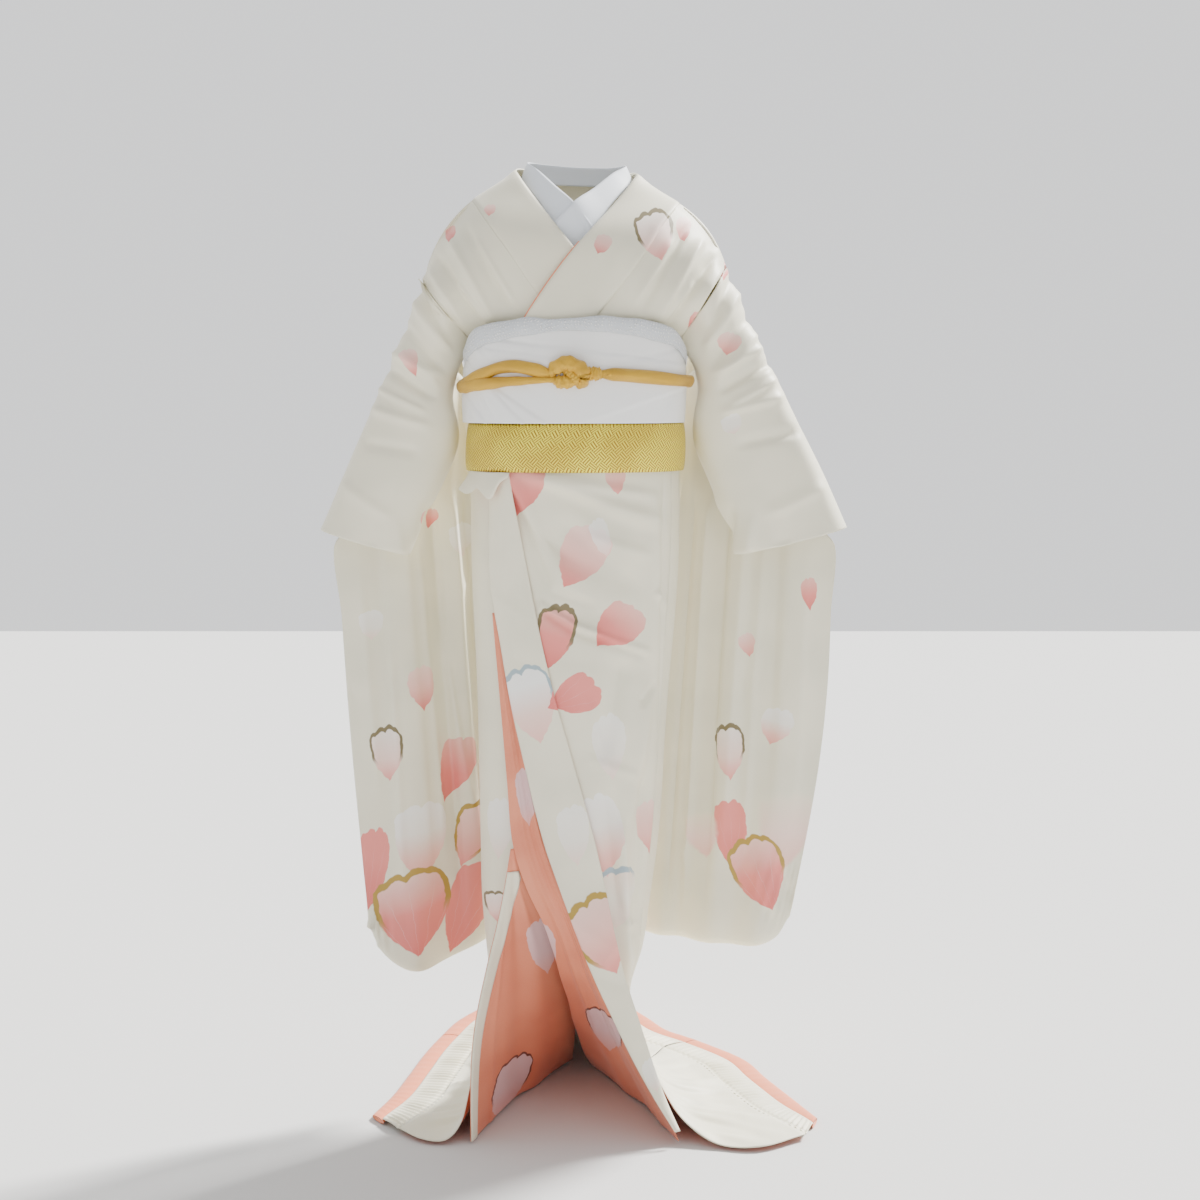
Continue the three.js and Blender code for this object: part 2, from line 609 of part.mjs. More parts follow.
// The wearer's right front is turned back like a lapel: its lining faces forward, with
// the outer cloth turned in along the free edge as a narrow facing.
const LAPEL_OUTER = [
  { x: -93, y: -100, z: 428 },
  { x: -103, y: -102, z: 370 },
  { x: -112, y: -105, z: 323 },
  { x: -127, y: -109, z: 262 },
  { x: -140, y: -113, z: 203 },
  { x: -148, y: -120, z: 148 },
  { x: -152, y: -128, z: 93 },
  { x: -153, y: -134, z: 45 },
  { x: -152, y: -139, z: 4 },
];
const LAPEL_INNER = [
  { x: -89, y: -97, z: 428 },
  { x: -72, y: -84, z: 370 },
  { x: -52, y: -60, z: 323 },
  { x: -28, y: -8, z: 262 },
  { x: -12, y: 46, z: 203 },
  { x: -6, y: 92, z: 148 },
  { x: -4, y: 140, z: 93 },
  { x: -5, y: 186, z: 45 },
  { x: -9, y: 227, z: 4 },
];
const LAPEL_ROWS = 14;
const FACING_WIDTH = 19;
const lapelRows = ruledRows(LAPEL_OUTER, LAPEL_INNER, LAPEL_ROWS, 8, -12);
add('okumi_right', sheetWall(lapelRows, { flip: true, outer: 0, inner: -1.5 }), COLOURS.lining);
const facingRows = lapelRows.slice(1).map((line) => {
  const across = line[line.length - 1].clone().sub(line[0]);
  const share = Math.min(0.9, FACING_WIDTH / across.length());
  const at = (t) => {
    const k = Math.min(Math.floor(t * (line.length - 1)), line.length - 2);
    return line[k].clone().lerp(line[k + 1], t * (line.length - 1) - k);
  };
  return [at(0), at(share / 2), at(share)];
});
add('facing_right', sheetWall(facingRows, { flip: true, outer: -1.8, inner: -3 }), COLOURS.silk);

// ---------------------------------------------------------------- padded hem

const HEM_ENDS = { front: [0, SIDE_SEAM_SHARE - SEAM_SHARE], back: [SIDE_SEAM_SHARE + SEAM_SHARE, 0.998] };
const GATHER_DEPTH = 2.4;

const CASING_OVER_ROLL = 4;      // the casing's outer edge lies on the roll
const CASING_EDGE_HEIGHT = 9;

// The stitch line, straight between the panel's columns as the panel itself is.
function stitchPoint(side, [start, end], t, columns, inward) {
  const k = Math.min(Math.floor(t * columns), columns - 1);
  const [a, b] = [k / columns, (k + 1) / columns].map((u) => (
    hemPoint(side, lerp(start, end, u), ROLL_WIDTH + GATHER_WIDTH, HEM_HEIGHT)));
  const out = hemPoint(side, lerp(start, end, t), 0, 0).sub(hemPoint(side, lerp(start, end, t), inward, 0));
  return a.lerp(b, t * columns - k).addScaledVector(out.normalize(), inward);
}

// Puckered casing between the stitch line and the roll: each fold is one wave.
function gatherRows(part, side, [start, end], folds) {
  const columns = folds * 2;
  const across = [0.33, 0.67];
  const inner = steps(columns).map((t) => (
    stitchPoint(side, [start, end], t, PANEL_COLUMNS[`${part}_${side}`], 0.5)));
  const middle = across.map((u) => steps(columns).map((t, k) => hemPoint(
    side, lerp(start, end, t), lerp(ROLL_WIDTH + GATHER_WIDTH, ROLL_WIDTH - CASING_OVER_ROLL, u),
    HEM_HEIGHT + 1.2 + GATHER_DEPTH * (k % 2 ? 1 : -1))));
  const outer = steps(columns).map((t) => hemPoint(
    side, lerp(start, end, t), ROLL_WIDTH - CASING_OVER_ROLL, CASING_EDGE_HEIGHT));
  return [inner, ...middle, outer];
}

// Padded lining rolled beyond the outer cloth, an oval section lying on the floor.
const ROLL_THICK = 8;
function rollRows(side, [start, end], count) {
  const middle = ROLL_WIDTH / 2;
  return steps(count).map((t) => steps(7).slice(0, 7).map((_, k) => {
    const angle = 2 * Math.PI * k / 7;
    const inward = middle + (middle - 0.4) * Math.cos(angle);
    const height = FLOOR_CLEAR + ROLL_THICK / 2 + ROLL_THICK / 2 * Math.sin(angle);
    return hemPoint(side, lerp(start, end, t), inward, height);
  }));
}

function solidRod(rings, flip) {
  const sides = rings[0].length;
  const vertices = rings.flat().flatMap((p) => [p.x, p.y, p.z]);
  const faces = [];
  for (let i = 0; i < rings.length - 1; i += 1) {
    for (let k = 0; k < sides; k += 1) {
      const [a, b] = [i * sides + k, i * sides + (k + 1) % sides];
      faces.push(a, a + sides, b, b, a + sides, b + sides);
    }
  }
  const last = (rings.length - 1) * sides;
  for (let k = 1; k < sides - 1; k += 1) {
    faces.push(0, k, k + 1, last, last + k + 1, last + k);
  }
  const geometry = new THREE.BufferGeometry();
  geometry.setAttribute('position', new THREE.Float32BufferAttribute(vertices, 3));
  geometry.setIndex(flip ? faces.map((_, k) => faces[k - (k % 3) + 2 - (k % 3)]) : faces);
  return geometry;
}

for (const side of ['left', 'right']) {
  for (const part of ['front', 'back']) {
    const name = `${part}_${side}`;
    const ends = HEM_ENDS[part];
    add(`hem_gather_${name}`, sheetWall(gatherRows(part, side, ends, part === 'front' ? 15 : 12), {
      flip: side === 'right', inner: -CLOTH }), COLOURS.silk);
    add(`hem_roll_${name}`, solidRod(rollRows(side, ends, 14), side === 'left'), COLOURS.lining);
  }
}

// ---------------------------------------------------------------- collar

const COLLAR_SAMPLES = 44;
const COLLAR_REACH = 0.96;       // the collar stops just short of the seam line
const COLLAR_LIFT = 7;           // the wearer's left half crosses over the right half
const COLLAR_LIFT_FROM = 0.66;
const COLLAR_LIFT_OVER = 0.18;

function collarRows(neck, seam, samples, columns, bow, reach = 1) {
  return steps(samples).map((t) => {
    const [a, b] = [neck.getPoint(t), seam.getPoint(t)];
    const out = point((a.x + b.x) * 0.3, (a.y + b.y) / 2, 20).normalize();
    return steps(columns).map((u) => (
      a.clone().lerp(b, u * reach).addScaledVector(out, bow * Math.sin(Math.PI * u))));
  });
}

const collarGrid = collarRows(neckLine, seamLine, COLLAR_SAMPLES, 3, 3, COLLAR_REACH);
collarGrid.forEach((line, i) => {
  const lift = COLLAR_LIFT * smooth((i / COLLAR_SAMPLES - COLLAR_LIFT_FROM) / COLLAR_LIFT_OVER);
  line.forEach((p) => p.setY(p.y - lift));
});
add('collar', sheetWall(collarGrid, { inner: 0, outer: COLLAR_CLOTH, flip: true }), COLOURS.silk);

// The white collar worn under it shows as a narrow band inside the neck edge.
const UNDER_COLLAR = [
  { ix: 40, iy: -84, iz: 1300, ox: -6, oy: -88, oz: 1262 },
  { ix: 3, iy: -60, iz: 1352, ox: -26, oy: -72, oz: 1304 },
  { ix: -26, iy: -28, iz: 1380, ox: -48, oy: -38, oz: 1352 },
  { ix: -52, iy: 12, iz: 1406, ox: -72, oy: 8, oz: 1384 },
  { ix: -68, iy: 42, iz: 1420, ox: -78, oy: 44, oz: 1392 },
  { ix: -46, iy: 68, iz: 1420, ox: -51, oy: 72, oz: 1392 },
  { ix: 2, iy: 78, iz: 1417, ox: 2, oy: 82, oz: 1390 },
  { ix: 52, iy: 67, iz: 1415, ox: 57, oy: 71, oz: 1388 },
  { ix: 74, iy: 42, iz: 1415, ox: 84, oy: 44, oz: 1387 },
  { ix: 56, iy: 12, iz: 1402, ox: 76, oy: 8, oz: 1380 },
  { ix: 27, iy: -28, iz: 1376, ox: 48, oy: -38, oz: 1346 },
  { ix: -2, iy: -62, iz: 1354, ox: 24, oy: -74, oz: 1302 },
  { ix: -28, iy: -68, iz: 1325, ox: 6, oy: -82, oz: 1262 },
];
const UNDER_SAMPLES = 30;
const underNeck = curveThrough(UNDER_COLLAR.map((row) => ({ x: row.ix, y: row.iy, z: row.iz })));
const underSeam = curveThrough(UNDER_COLLAR.map((row) => ({ x: row.ox, y: row.oy, z: row.oz })));
const underGrid = collarRows(underNeck, underSeam, UNDER_SAMPLES, 2, 1.5);
underGrid.forEach((line, i) => {
  const share = i / UNDER_SAMPLES;
  const back = 4.2 * smooth((0.34 - share) / 0.2);
  line.forEach((p) => p.setY(p.y + 1.4 + back));
});
add('under_collar', sheetWall(underGrid, { inner: 0, outer: 1.6, flip: true }), COLOURS.underCollar);

// ---------------------------------------------------------------- sleeves

// From the armhole (share 0) to the wrist (share 1): the top fold over the arm (rx, rz),
// the lower fold of the arm part (fx, fz), where the hanging bag starts (hx, hz) and
// its bottom edge (bx, bz); depths are towards the back.
const SLEEVE_RIGHT = [
  { share: 0, rx: -219, rz: 1242, fx: -146, fz: 1158, hx: -168, hz: 1092, bx: -98, bz: 262 },
  { share: 0.1, rx: -234, rz: 1204, fx: -175, fz: 1124, hx: -174, hz: 1079, bx: -120, bz: 254 },
  { share: 0.25, rx: -256, rz: 1148, fx: -178, fz: 1085, hx: -186, hz: 1060, bx: -152, bz: 241 },
  { share: 0.5, rx: -289, rz: 1072, fx: -170, fz: 1016, hx: -234, hz: 1004, bx: -203, bz: 220 },
  { share: 0.75, rx: -329, rz: 976, fx: -203, fz: 936, hx: -294, hz: 934, bx: -252, bz: 216 },
  { share: 0.9, rx: -354, rz: 920, fx: -228, fz: 884, hx: -331, hz: 892, bx: -290, bz: 244 },
  { share: 1, rx: -370, rz: 887, fx: -245, fz: 851, hx: -352, hz: 868, bx: -311, bz: 292 },
];
const SLEEVE_LEFT = [
  { share: 0, rx: 219, rz: 1266, fx: 150, fz: 1158, hx: 169, hz: 1096, bx: 98, bz: 256 },
  { share: 0.1, rx: 236, rz: 1225, fx: 182, fz: 1128, hx: 177, hz: 1086, bx: 119, bz: 255 },
  { share: 0.25, rx: 262, rz: 1165, fx: 183, fz: 1098, hx: 190, hz: 1070, bx: 150, bz: 254 },
  { share: 0.5, rx: 303, rz: 1085, fx: 174, fz: 1022, hx: 246, hz: 1010, bx: 206, bz: 252 },
  { share: 0.75, rx: 352, rz: 985, fx: 202, fz: 944, hx: 314, hz: 938, bx: 264, bz: 253 },
  { share: 0.9, rx: 379, rz: 927, fx: 221, fz: 888, hx: 356, hz: 894, bx: 303, bz: 266 },
  { share: 1, rx: 396, rz: 890, fx: 235, fz: 851, hx: 379, hz: 870, bx: 322, bz: 298 },
];
const SLEEVE_SHAPES = {
  right: { table: SLEEVE_RIGHT, sign: -1, bow: 4, waves: 2.6, phase: 0.4 },
  left: { table: SLEEVE_LEFT, sign: 1, bow: 20, waves: 3.1, phase: 1.9 },
};
const SLEEVE_STATIONS = [0, 0.08, 0.18, 0.3, 0.42, 0.54, 0.66, 0.78, 0.88, 0.95, 1];
const SLEEVE_LOOP = 42;          // points round each section
const BAG_DEPTH_AT_BODY = 112;
const BAG_DEPTH_AT_WRIST = 26;
const BAG_GAP = { hollow: 16, sewn: 4.6 };
const BAG_WAVE = 8;
const ARM_DEPTH = { front: 50, back: 46, centreAtWrist: -8 };
const SEAM_SHIFT = 2.4;
const RING_ANGLES = [0, 30, 60, 90, 120, 150, 180, 210, 240, 265];

function sleeveStation(side, share) {
  const { table, sign, bow, waves, phase } = SLEEVE_SHAPES[side];
  const [rx, rz, fx, fz, hx, hz, bx, bz] = ['rx', 'rz', 'fx', 'fz', 'hx', 'hz', 'bx', 'bz']
    .map((name) => tableValue(table, name, share));
  const bagDepth = lerp(BAG_DEPTH_AT_BODY, BAG_DEPTH_AT_WRIST, smooth(share * 1.15));
  const gap = lerp(BAG_GAP.hollow, BAG_GAP.sewn, smooth((share - 0.72) / 0.28));
  const bag = (t, layer) => {
    const wave = BAG_WAVE * (1 - t * 0.7) * (1 - share ** 4) * Math.sin(2 * Math.PI * waves * share + phase);
    const x = lerp(bx, hx, t) + sign * bow * share * Math.sin(Math.PI * t);
    const y = bagDepth + wave + layer * gap / 2;
    return point(x, y, lerp(bz, hz, t));
  };
  const atSeam = smooth((0.3 - share) / 0.3);
  const middle = { x: (rx + fx) / 2, z: (rz + fz) / 2 };
  const half = { x: (rx - fx) / 2, z: (rz - fz) / 2 };
  const centre = lerp(0, ARM_DEPTH.centreAtWrist, share);
  const ring = (angle) => {
    const [s, c] = [Math.sin(radians(angle)), Math.cos(radians(angle))];
    const x = middle.x - half.x * c;
    const z = middle.z - half.z * c;
    const tube = centre - (s > 0 ? ARM_DEPTH.front * s ** 0.8 : -ARM_DEPTH.back * (-s) ** 0.8);
    const seam = armholePoint(side, s >= 0 ? 'front' : 'back', (1 - c) / 2);
    return point(lerp(x, seam.x, atSeam), lerp(tube, seam.y, atSeam), lerp(z, seam.z, atSeam));
  };
  const lowFold = ring(0);
  const ahead = [bag(0, -1), bag(0.2, -1), bag(0.4, -1), bag(0.6, -1), bag(0.8, -1), bag(1, -1)];
  const top = bag(1, -1);
  const returns = [0.36, 0.78].map((t) => {
    const away = lerp(20 * Math.sin(Math.PI * t), -8, atSeam);
    return point(
      lerp(top.x, lowFold.x, t) + sign * lerp(0, 21, atSeam),
      lerp(lerp(top.y, lowFold.y, t ** 1.6), lerp(top.y, lowFold.y, t), atSeam) + away * (1 - atSeam) * 0.3,
      lerp(top.z, lowFold.z, t),
    );
  });
  const arm = RING_ANGLES.slice(1).map(ring);
  const behind = [bag(1, 1), bag(0.8, 1), bag(0.6, 1), bag(0.4, 1), bag(0.2, 1), bag(0, 1)];
  const lastArm = arm[arm.length - 1];
  const link = lastArm.clone().lerp(behind[0], 0.55);
  link.y = Math.max(link.y, behind[0].y + 8 * (1 - atSeam));
  return [...ahead, ...returns, lowFold, ...arm, link, ...behind];
}

function sleeve(side) {
  const { sign } = SLEEVE_SHAPES[side];
  const loops = SLEEVE_STATIONS.map((share) => {
    const controls = sleeveStation(side, share);
    const curve = new THREE.CatmullRomCurve3(controls, true, 'centripetal');
    const count = SLEEVE_LOOP;
    return steps(count).slice(0, count).map((t) => curve.getPoint(t));
  });
  loops.forEach((loop) => loop.forEach((p) => p.add(point(sign * SEAM_SHIFT * 0.77, 0, -SEAM_SHIFT * 0.64))));
  add(`sleeve_${side}`, sheetWall(loops, { loop: true, flip: side === 'left' }), COLOURS.silk);
}

sleeve('left');
sleeve('right');

// ---------------------------------------------------------------- sash set

const SASH = { side: 5.6, front: 9.6 };
const wrapOffset = (degrees) => SASH.side + SASH.front * Math.max(0, Math.cos(radians(degrees))) ** 0.7;

// A sash wound once round with its end lapped over its start at the back.
function sashRows(heightsAt, lift, rows, lap, thick) {
  const start = 158;
  const turn = 360 + lap;
  const columns = Math.round(turn / 10);
  return steps(rows).map((u) => steps(columns).map((t) => {
    const angle = start + turn * t;
    const { low, high } = heightsAt(angle);
    const height = lerp(high, low, u);
    const over = (thick + 0.6) * smooth((t * turn - (turn - lap - 60)) / 50);
    const swell = 2 * Math.sin(Math.PI * u);
    return sectionPoint(height, angle, wrapOffset(angle) + lift + over + swell);
  }));
}

const OBI = { low: 1042.6, frontTop: 1174, sideTop: 1145, backTop: 1149, thick: 3 };
function obiHeights(angle) {
  const c = Math.cos(radians(angle));
  return { low: OBI.low, high: lerp(OBI.sideTop, c > 0 ? OBI.frontTop : OBI.backTop, c * c) };
}
add('obi', sheetWall(sashRows(obiHeights, 0, 3, 32, OBI.thick), { inner: -OBI.thick }), COLOURS.white);

const KAKAE = { low: 973, high: 1042, thick: 2.2, lift: 1.2 };
add('kakae_obi', sheetWall(sashRows(() => KAKAE, KAKAE.lift, 2, 26, KAKAE.thick), { inner: -KAKAE.thick }),
  COLOURS.gold, 0.4, 0.5);

// What goes round the sash stands further out where the sash's end is lapped.
const overLap = (degrees) => (OBI.thick + 0.8) * smooth((0.2 - Math.cos(radians(degrees))) / 0.6);

// Puffed scarf over the sash's top edge: a rolled fold, open towards the body.
const OBIAGE = {
  rise: 9, half: 12, deep: 8, thick: 2, lift: 5.2, sideRise: -15, sideHalf: 6, sideDeep: 3,
};
const obiageGrid = [-150, -100, -50, 0, 50, 100, 150].map((turn) => steps(35).slice(0, 35).map((t) => {
  const angle = 360 * t;
  const [s, c] = [Math.sin(radians(turn)), Math.cos(radians(turn))];
  const full = smooth(Math.cos(radians(angle)) * 1.6);
  const middle = obiHeights(angle).high + lerp(OBIAGE.sideRise, OBIAGE.rise, full);
  const deep = lerp(OBIAGE.sideDeep, OBIAGE.deep, full);
  const out = wrapOffset(angle) + overLap(angle) + lerp(OBIAGE.sideDeep, OBIAGE.lift, full) + deep / 2 * c;
  return sectionPoint(Math.min(ARMPIT, middle), angle, out)
    .setZ(middle + lerp(OBIAGE.sideHalf, OBIAGE.half, full) * s);
}));
add('obiage', sheetWall(obiageGrid, { loop: true, inner: -OBIAGE.thick, flip: true }), COLOURS.white);

// Padded cord round the sash, tied in front; its lower end lies under it at one side.
const CORD = { radius: 6.4, sides: 7, lift: 9.25, endLift: 8.5 };
const CORD_PATH = [
  { angle: -14, height: 1127 },
  { angle: -34, height: 1131 },
  { angle: -58, height: 1122 },
  { angle: -88, height: 1112 },
  { angle: -135, height: 1106 },
  { angle: -180, height: 1104 },
  { angle: -225, height: 1106 },
  { angle: -272, height: 1112 },
  { angle: -302, height: 1118 },
  { angle: -326, height: 1120 },
  { angle: -346, height: 1118 },
];
const CORD_END_PATH = [
  { angle: -13, height: 1097 },
  { angle: -24, height: 1096 },
  { angle: -36, height: 1099 },
  { angle: -46, height: 1106 },
];

function cordGeometry(path, samples, lift) {
  const curve = curveThrough(path.map(({ angle, height }) => (
    sectionPoint(height, angle, wrapOffset(angle) + 1.5 * overLap(angle) + lift))));
  const frames = curve.computeFrenetFrames(samples, false);
  const rings = steps(samples).map((t, i) => {
    const centre = curve.getPointAt(t);
    return steps(CORD.sides).slice(0, CORD.sides).map((_, k) => {
      const turn = 2 * Math.PI * k / CORD.sides;
      return centre.clone()
        .addScaledVector(frames.normals[i], CORD.radius * Math.cos(turn))
        .addScaledVector(frames.binormals[i], CORD.radius * Math.sin(turn));
    });
  });
  return solidRod(rings, true);
}

add('obijime', cordGeometry(CORD_PATH, 46, CORD.lift), COLOURS.cord, 0.5, 0.4);
add('obijime_end', cordGeometry(CORD_END_PATH, 8, CORD.endLift), COLOURS.cord, 0.5, 0.4);

// The knot: a flattened bale with a waist where the cord passes over it.
const KNOT = { x: -4, height: 1113, halfWidth: 22, halfHeight: 23, halfDepth: 9, waist: 0.16 };
const knotFace = sectionPoint(KNOT.height, 0, wrapOffset(0) + KNOT.halfDepth + 0.7).y;
const knotRings = steps(8).map((u) => steps(12).slice(0, 12).map((_, k) => {
  const [tilt, turn] = [Math.PI * lerp(0.04, 0.96, u), 2 * Math.PI * k / 12];
  const size = Math.sin(tilt) ** 0.7 * (1 - KNOT.waist * Math.cos(2 * turn) ** 2 * Math.sin(tilt));
  return point(
    KNOT.x - KNOT.halfWidth * Math.cos(tilt),
    knotFace - KNOT.halfDepth * size * Math.cos(turn),
    KNOT.height + KNOT.halfHeight * size * Math.sin(turn),
  );
}));
add('obijime_knot', solidRod(knotRings, false), COLOURS.cord, 0.5, 0.4);

// ---------------------------------------------------------------- tuck fold

// A corner of the waist tuck that hangs out under the gold sash: where it leaves the
// sash (top), its lower edge (low, height) and how far it stands off there.
const TUCK = [
  { top: -149, low: -166, height: 946, off: 5 },
  { top: -143, low: -156, height: 941, off: 9 },
  { top: -135, low: -147, height: 943, off: 7 },
  { top: -128, low: -138, height: 949, off: 3 },
  { top: -119, low: -128, height: 941, off: 6 },
  { top: -110, low: -118, height: 936, off: 9 },
  { top: -101, low: -107, height: 957, off: 5 },
  { top: -91, low: -93, height: 967, off: 2 },
];
const TUCK_TOP = 972;
const TUCK_OFF = 16.6;
const tuckGrid = steps(4).map((u) => TUCK.map((row) => {
  const onSash = wrapOffset(angleAtX(TUCK_TOP, Math.max(row.top, -144))) + KAKAE.lift;
  const base = skirtFront(row.top, TUCK_TOP, lerp(onSash, TUCK_OFF, smooth((row.top + 135) / 12)));
  const y = base - row.off * Math.sin(Math.PI * u * 0.7);
  return point(lerp(row.top, row.low, u), y, lerp(TUCK_TOP, row.height, u));
}));
add('tuck_fold', sheetWall(tuckGrid, { flip: true }), COLOURS.silk);

export default kimono;
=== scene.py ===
import bpy
import math
import numpy as np
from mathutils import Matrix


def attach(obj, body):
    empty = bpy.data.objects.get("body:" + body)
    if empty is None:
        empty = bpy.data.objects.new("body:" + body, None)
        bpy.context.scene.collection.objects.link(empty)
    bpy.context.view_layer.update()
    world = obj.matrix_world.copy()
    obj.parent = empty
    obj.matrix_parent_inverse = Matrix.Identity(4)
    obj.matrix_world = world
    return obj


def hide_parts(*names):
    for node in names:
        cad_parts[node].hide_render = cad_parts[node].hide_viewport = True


# A bridal furisode kimono in its worn shape. Every shell lies on the form of the solid it
# replaces: the same tables and formulas, in millimetres with heights above the floor,
# at a finer pitch, with the small folds added. Objects are in metres.

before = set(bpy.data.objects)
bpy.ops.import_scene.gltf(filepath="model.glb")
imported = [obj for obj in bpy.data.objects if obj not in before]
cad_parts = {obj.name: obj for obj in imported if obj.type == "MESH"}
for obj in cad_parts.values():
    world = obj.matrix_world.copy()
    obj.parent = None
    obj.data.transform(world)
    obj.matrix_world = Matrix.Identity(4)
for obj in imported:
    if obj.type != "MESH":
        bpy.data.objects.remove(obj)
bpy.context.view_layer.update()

ORIGIN_HEIGHT = 1360
WALL = 1.8                       # lined silk crepe, as thick as the solid's wall
LINING_WALL = 1.5
SEAM = 0.3
MM = 0.001

# ---------------------------------------------------------------- helpers


def lerp(a, b, t):
    return a + (b - a) * t


def smooth(t):
    t = np.clip(t, 0, 1)
    return t * t * (3 - 2 * t)


def steps(count):
    return [i / count for i in range(count + 1)]


def point(x, y, z):
    return np.array([x, y, z], float)


def table(names, *rows):
    return [dict(zip(names.split(), row)) for row in rows]


def value(rows, column, at):
    """Smooth value of one column of a table whose first column runs up or down."""
    key = next(iter(rows[0]))
    ordered = sorted(rows, key=lambda row: row[key])
    last = len(ordered) - 1
    at = min(max(at, ordered[0][key]), ordered[last][key])
    i = 0
    while i < last - 1 and at > ordered[i + 1][key]:
        i += 1

    def slope(k):
        low, high = ordered[max(k - 1, 0)], ordered[min(k + 1, last)]
        return (high[column] - low[column]) / (high[key] - low[key])

    a, b = ordered[i], ordered[i + 1]
    span = b[key] - a[key]
    t = (at - a[key]) / span
    return ((2 * t**3 - 3 * t**2 + 1) * a[column] + (t**3 - 2 * t**2 + t) * span * slope(i)
            + (3 * t**2 - 2 * t**3) * b[column] + (t**3 - t**2) * span * slope(i + 1))


class Curve:
    """Centripetal Catmull-Rom curve through points, read at a share of its stretches."""

    def __init__(self, points, closed=False):
        self.points = np.array(points, float)
        self.closed = closed

    def at(self, t):
        p, n = self.points, len(self.points)
        place = t * (n if self.closed else n - 1)
        i = math.floor(place)
        if not self.closed:
            i = min(max(i, 0), n - 2)
        w = place - i
        if self.closed:
            p0, p1, p2, p3 = (p[(i + k) % n] for k in (-1, 0, 1, 2))
        else:
            p1, p2 = p[i], p[i + 1]
            p0 = p[i - 1] if i > 0 else 2 * p[0] - p[1]
            p3 = p[i + 2] if i + 2 < n else 2 * p[n - 1] - p[n - 2]
        d0, d1, d2 = (max(np.linalg.norm(b - a) ** 0.5, 1e-4) for a, b in ((p0, p1), (p1, p2), (p2, p3)))
        m1 = ((p1 - p0) / d0 - (p2 - p0) / (d0 + d1) + (p2 - p1) / d1) * d1
        m2 = ((p2 - p1) / d1 - (p3 - p1) / (d1 + d2) + (p3 - p2) / d2) * d1
        c2 = -3 * p1 + 3 * p2 - 2 * m1 - m2
        c3 = 2 * p1 - 2 * p2 + m1 + m2
        return p1 + m1 * w + c2 * w**2 + c3 * w**3

    def tangent(self, t):
        step = 1e-4
        way = self.at(min(t + step, 1)) - self.at(max(t - step, 0))
        return way / np.linalg.norm(way)


def finer(grid, factor, axis=0, closed=False):
    """The grid with each stretch along one axis cut into factor parts on a smooth curve."""
    a = np.moveaxis(np.asarray(grid, float), axis, 0)
    n = len(a)
    count = n * factor if closed else (n - 1) * factor + 1
    k = np.arange(count)
    i = k // factor
    w = (k % factor) / factor
    if not closed:
        w[i > n - 2] = 1
        i = np.minimum(i, n - 2)
    if closed:
        p0, p1, p2, p3 = (a[(i + s) % n] for s in (-1, 0, 1, 2))
    else:
        ends = np.concatenate([[2 * a[0] - a[1]], a, [2 * a[-1] - a[-2]]])
        p0, p1, p2, p3 = (ends[i + s] for s in (0, 1, 2, 3))
    w = w.reshape([-1] + [1] * (a.ndim - 1))
    m1, m2 = (p2 - p0) / 2, (p3 - p1) / 2
    out = (2 * w**3 - 3 * w**2 + 1) * p1 + (w**3 - 2 * w**2 + w) * m1
    out += (3 * w**2 - 2 * w**3) * p2 + (w**3 - w**2) * m2
    return np.moveaxis(out, 0, axis)


def fine_grid(rows, down, across, loop=False):
    return finer(finer(np.array(rows), down, 0), across, 1, loop)


def normals(grid, loop=False, flip=False):
    """Unit normals on the side that grid_faces turns outwards."""
    down = np.gradient(grid, axis=0)
    if loop:
        across = (np.roll(grid, -1, axis=1) - np.roll(grid, 1, axis=1)) / 2
    else:
        across = np.gradient(grid, axis=1)
    n = np.cross(down, across)
    n /= np.maximum(np.linalg.norm(n, axis=-1, keepdims=True), 1e-9)
    return n if flip else -n


def arc(grid, axis):
    """Length along one axis of a grid from its first line, in millimetres."""
    stretch = np.linalg.norm(np.diff(grid, axis=axis), axis=-1)
    start = np.zeros_like(stretch.take([0], axis=axis))
    return np.concatenate([start, np.cumsum(stretch, axis=axis)], axis=axis)


def fold(grid, x0, z0, x1, z1, depth, half, lean=0.0):
    """Height of a soft ridge (or trough, with a negative depth) along a line seen from the
    front; lean pushes the ridge over so that one of its sides is steeper."""
    way = np.array([x1 - x0, z1 - z0], float)
    length = np.linalg.norm(way)
    way /= length
    dx, dz = grid[..., 0] - x0, grid[..., 2] - z0
    along = (dx * way[0] + dz * way[1]) / length
    off = (dx * way[1] - dz * way[0]) / half
    off = off + lean * np.exp(-off**2)
    taper = smooth(along / 0.22 + 0.45) * smooth((1 - along) / 0.3 + 0.3)
    return depth * np.exp(-off**2) * taper


def layer_edge(grid, x0, z0, x1, z1, depth, soft=0.8):
    """Height of a folded layer whose edge runs along a line seen from the front."""
    way = np.array([x1 - x0, z1 - z0], float)
    way /= np.linalg.norm(way)
    off = (grid[..., 0] - x0) * way[1] - (grid[..., 2] - z0) * way[0]
    return depth * 0.5 * (1 + np.tanh(off / soft))


def ripple(grid, length, height, seed):
    """Slight unevenness of hanging cloth: a sum of waves in fixed, seeded directions."""
    dice = np.random.default_rng(seed)
    total = np.zeros(grid.shape[:-1])
    for _ in range(6):
        way = dice.normal(size=3)
        way *= 2 * math.pi / (length * dice.uniform(0.6, 1.6) * np.linalg.norm(way))
        total += np.sin(grid @ way + dice.uniform(0, 6.28))
    return total * height / 2.5


def pushed(grid, height, loop=False, flip=False):
    return grid + normals(grid, loop, flip) * np.asarray(height)[..., None]


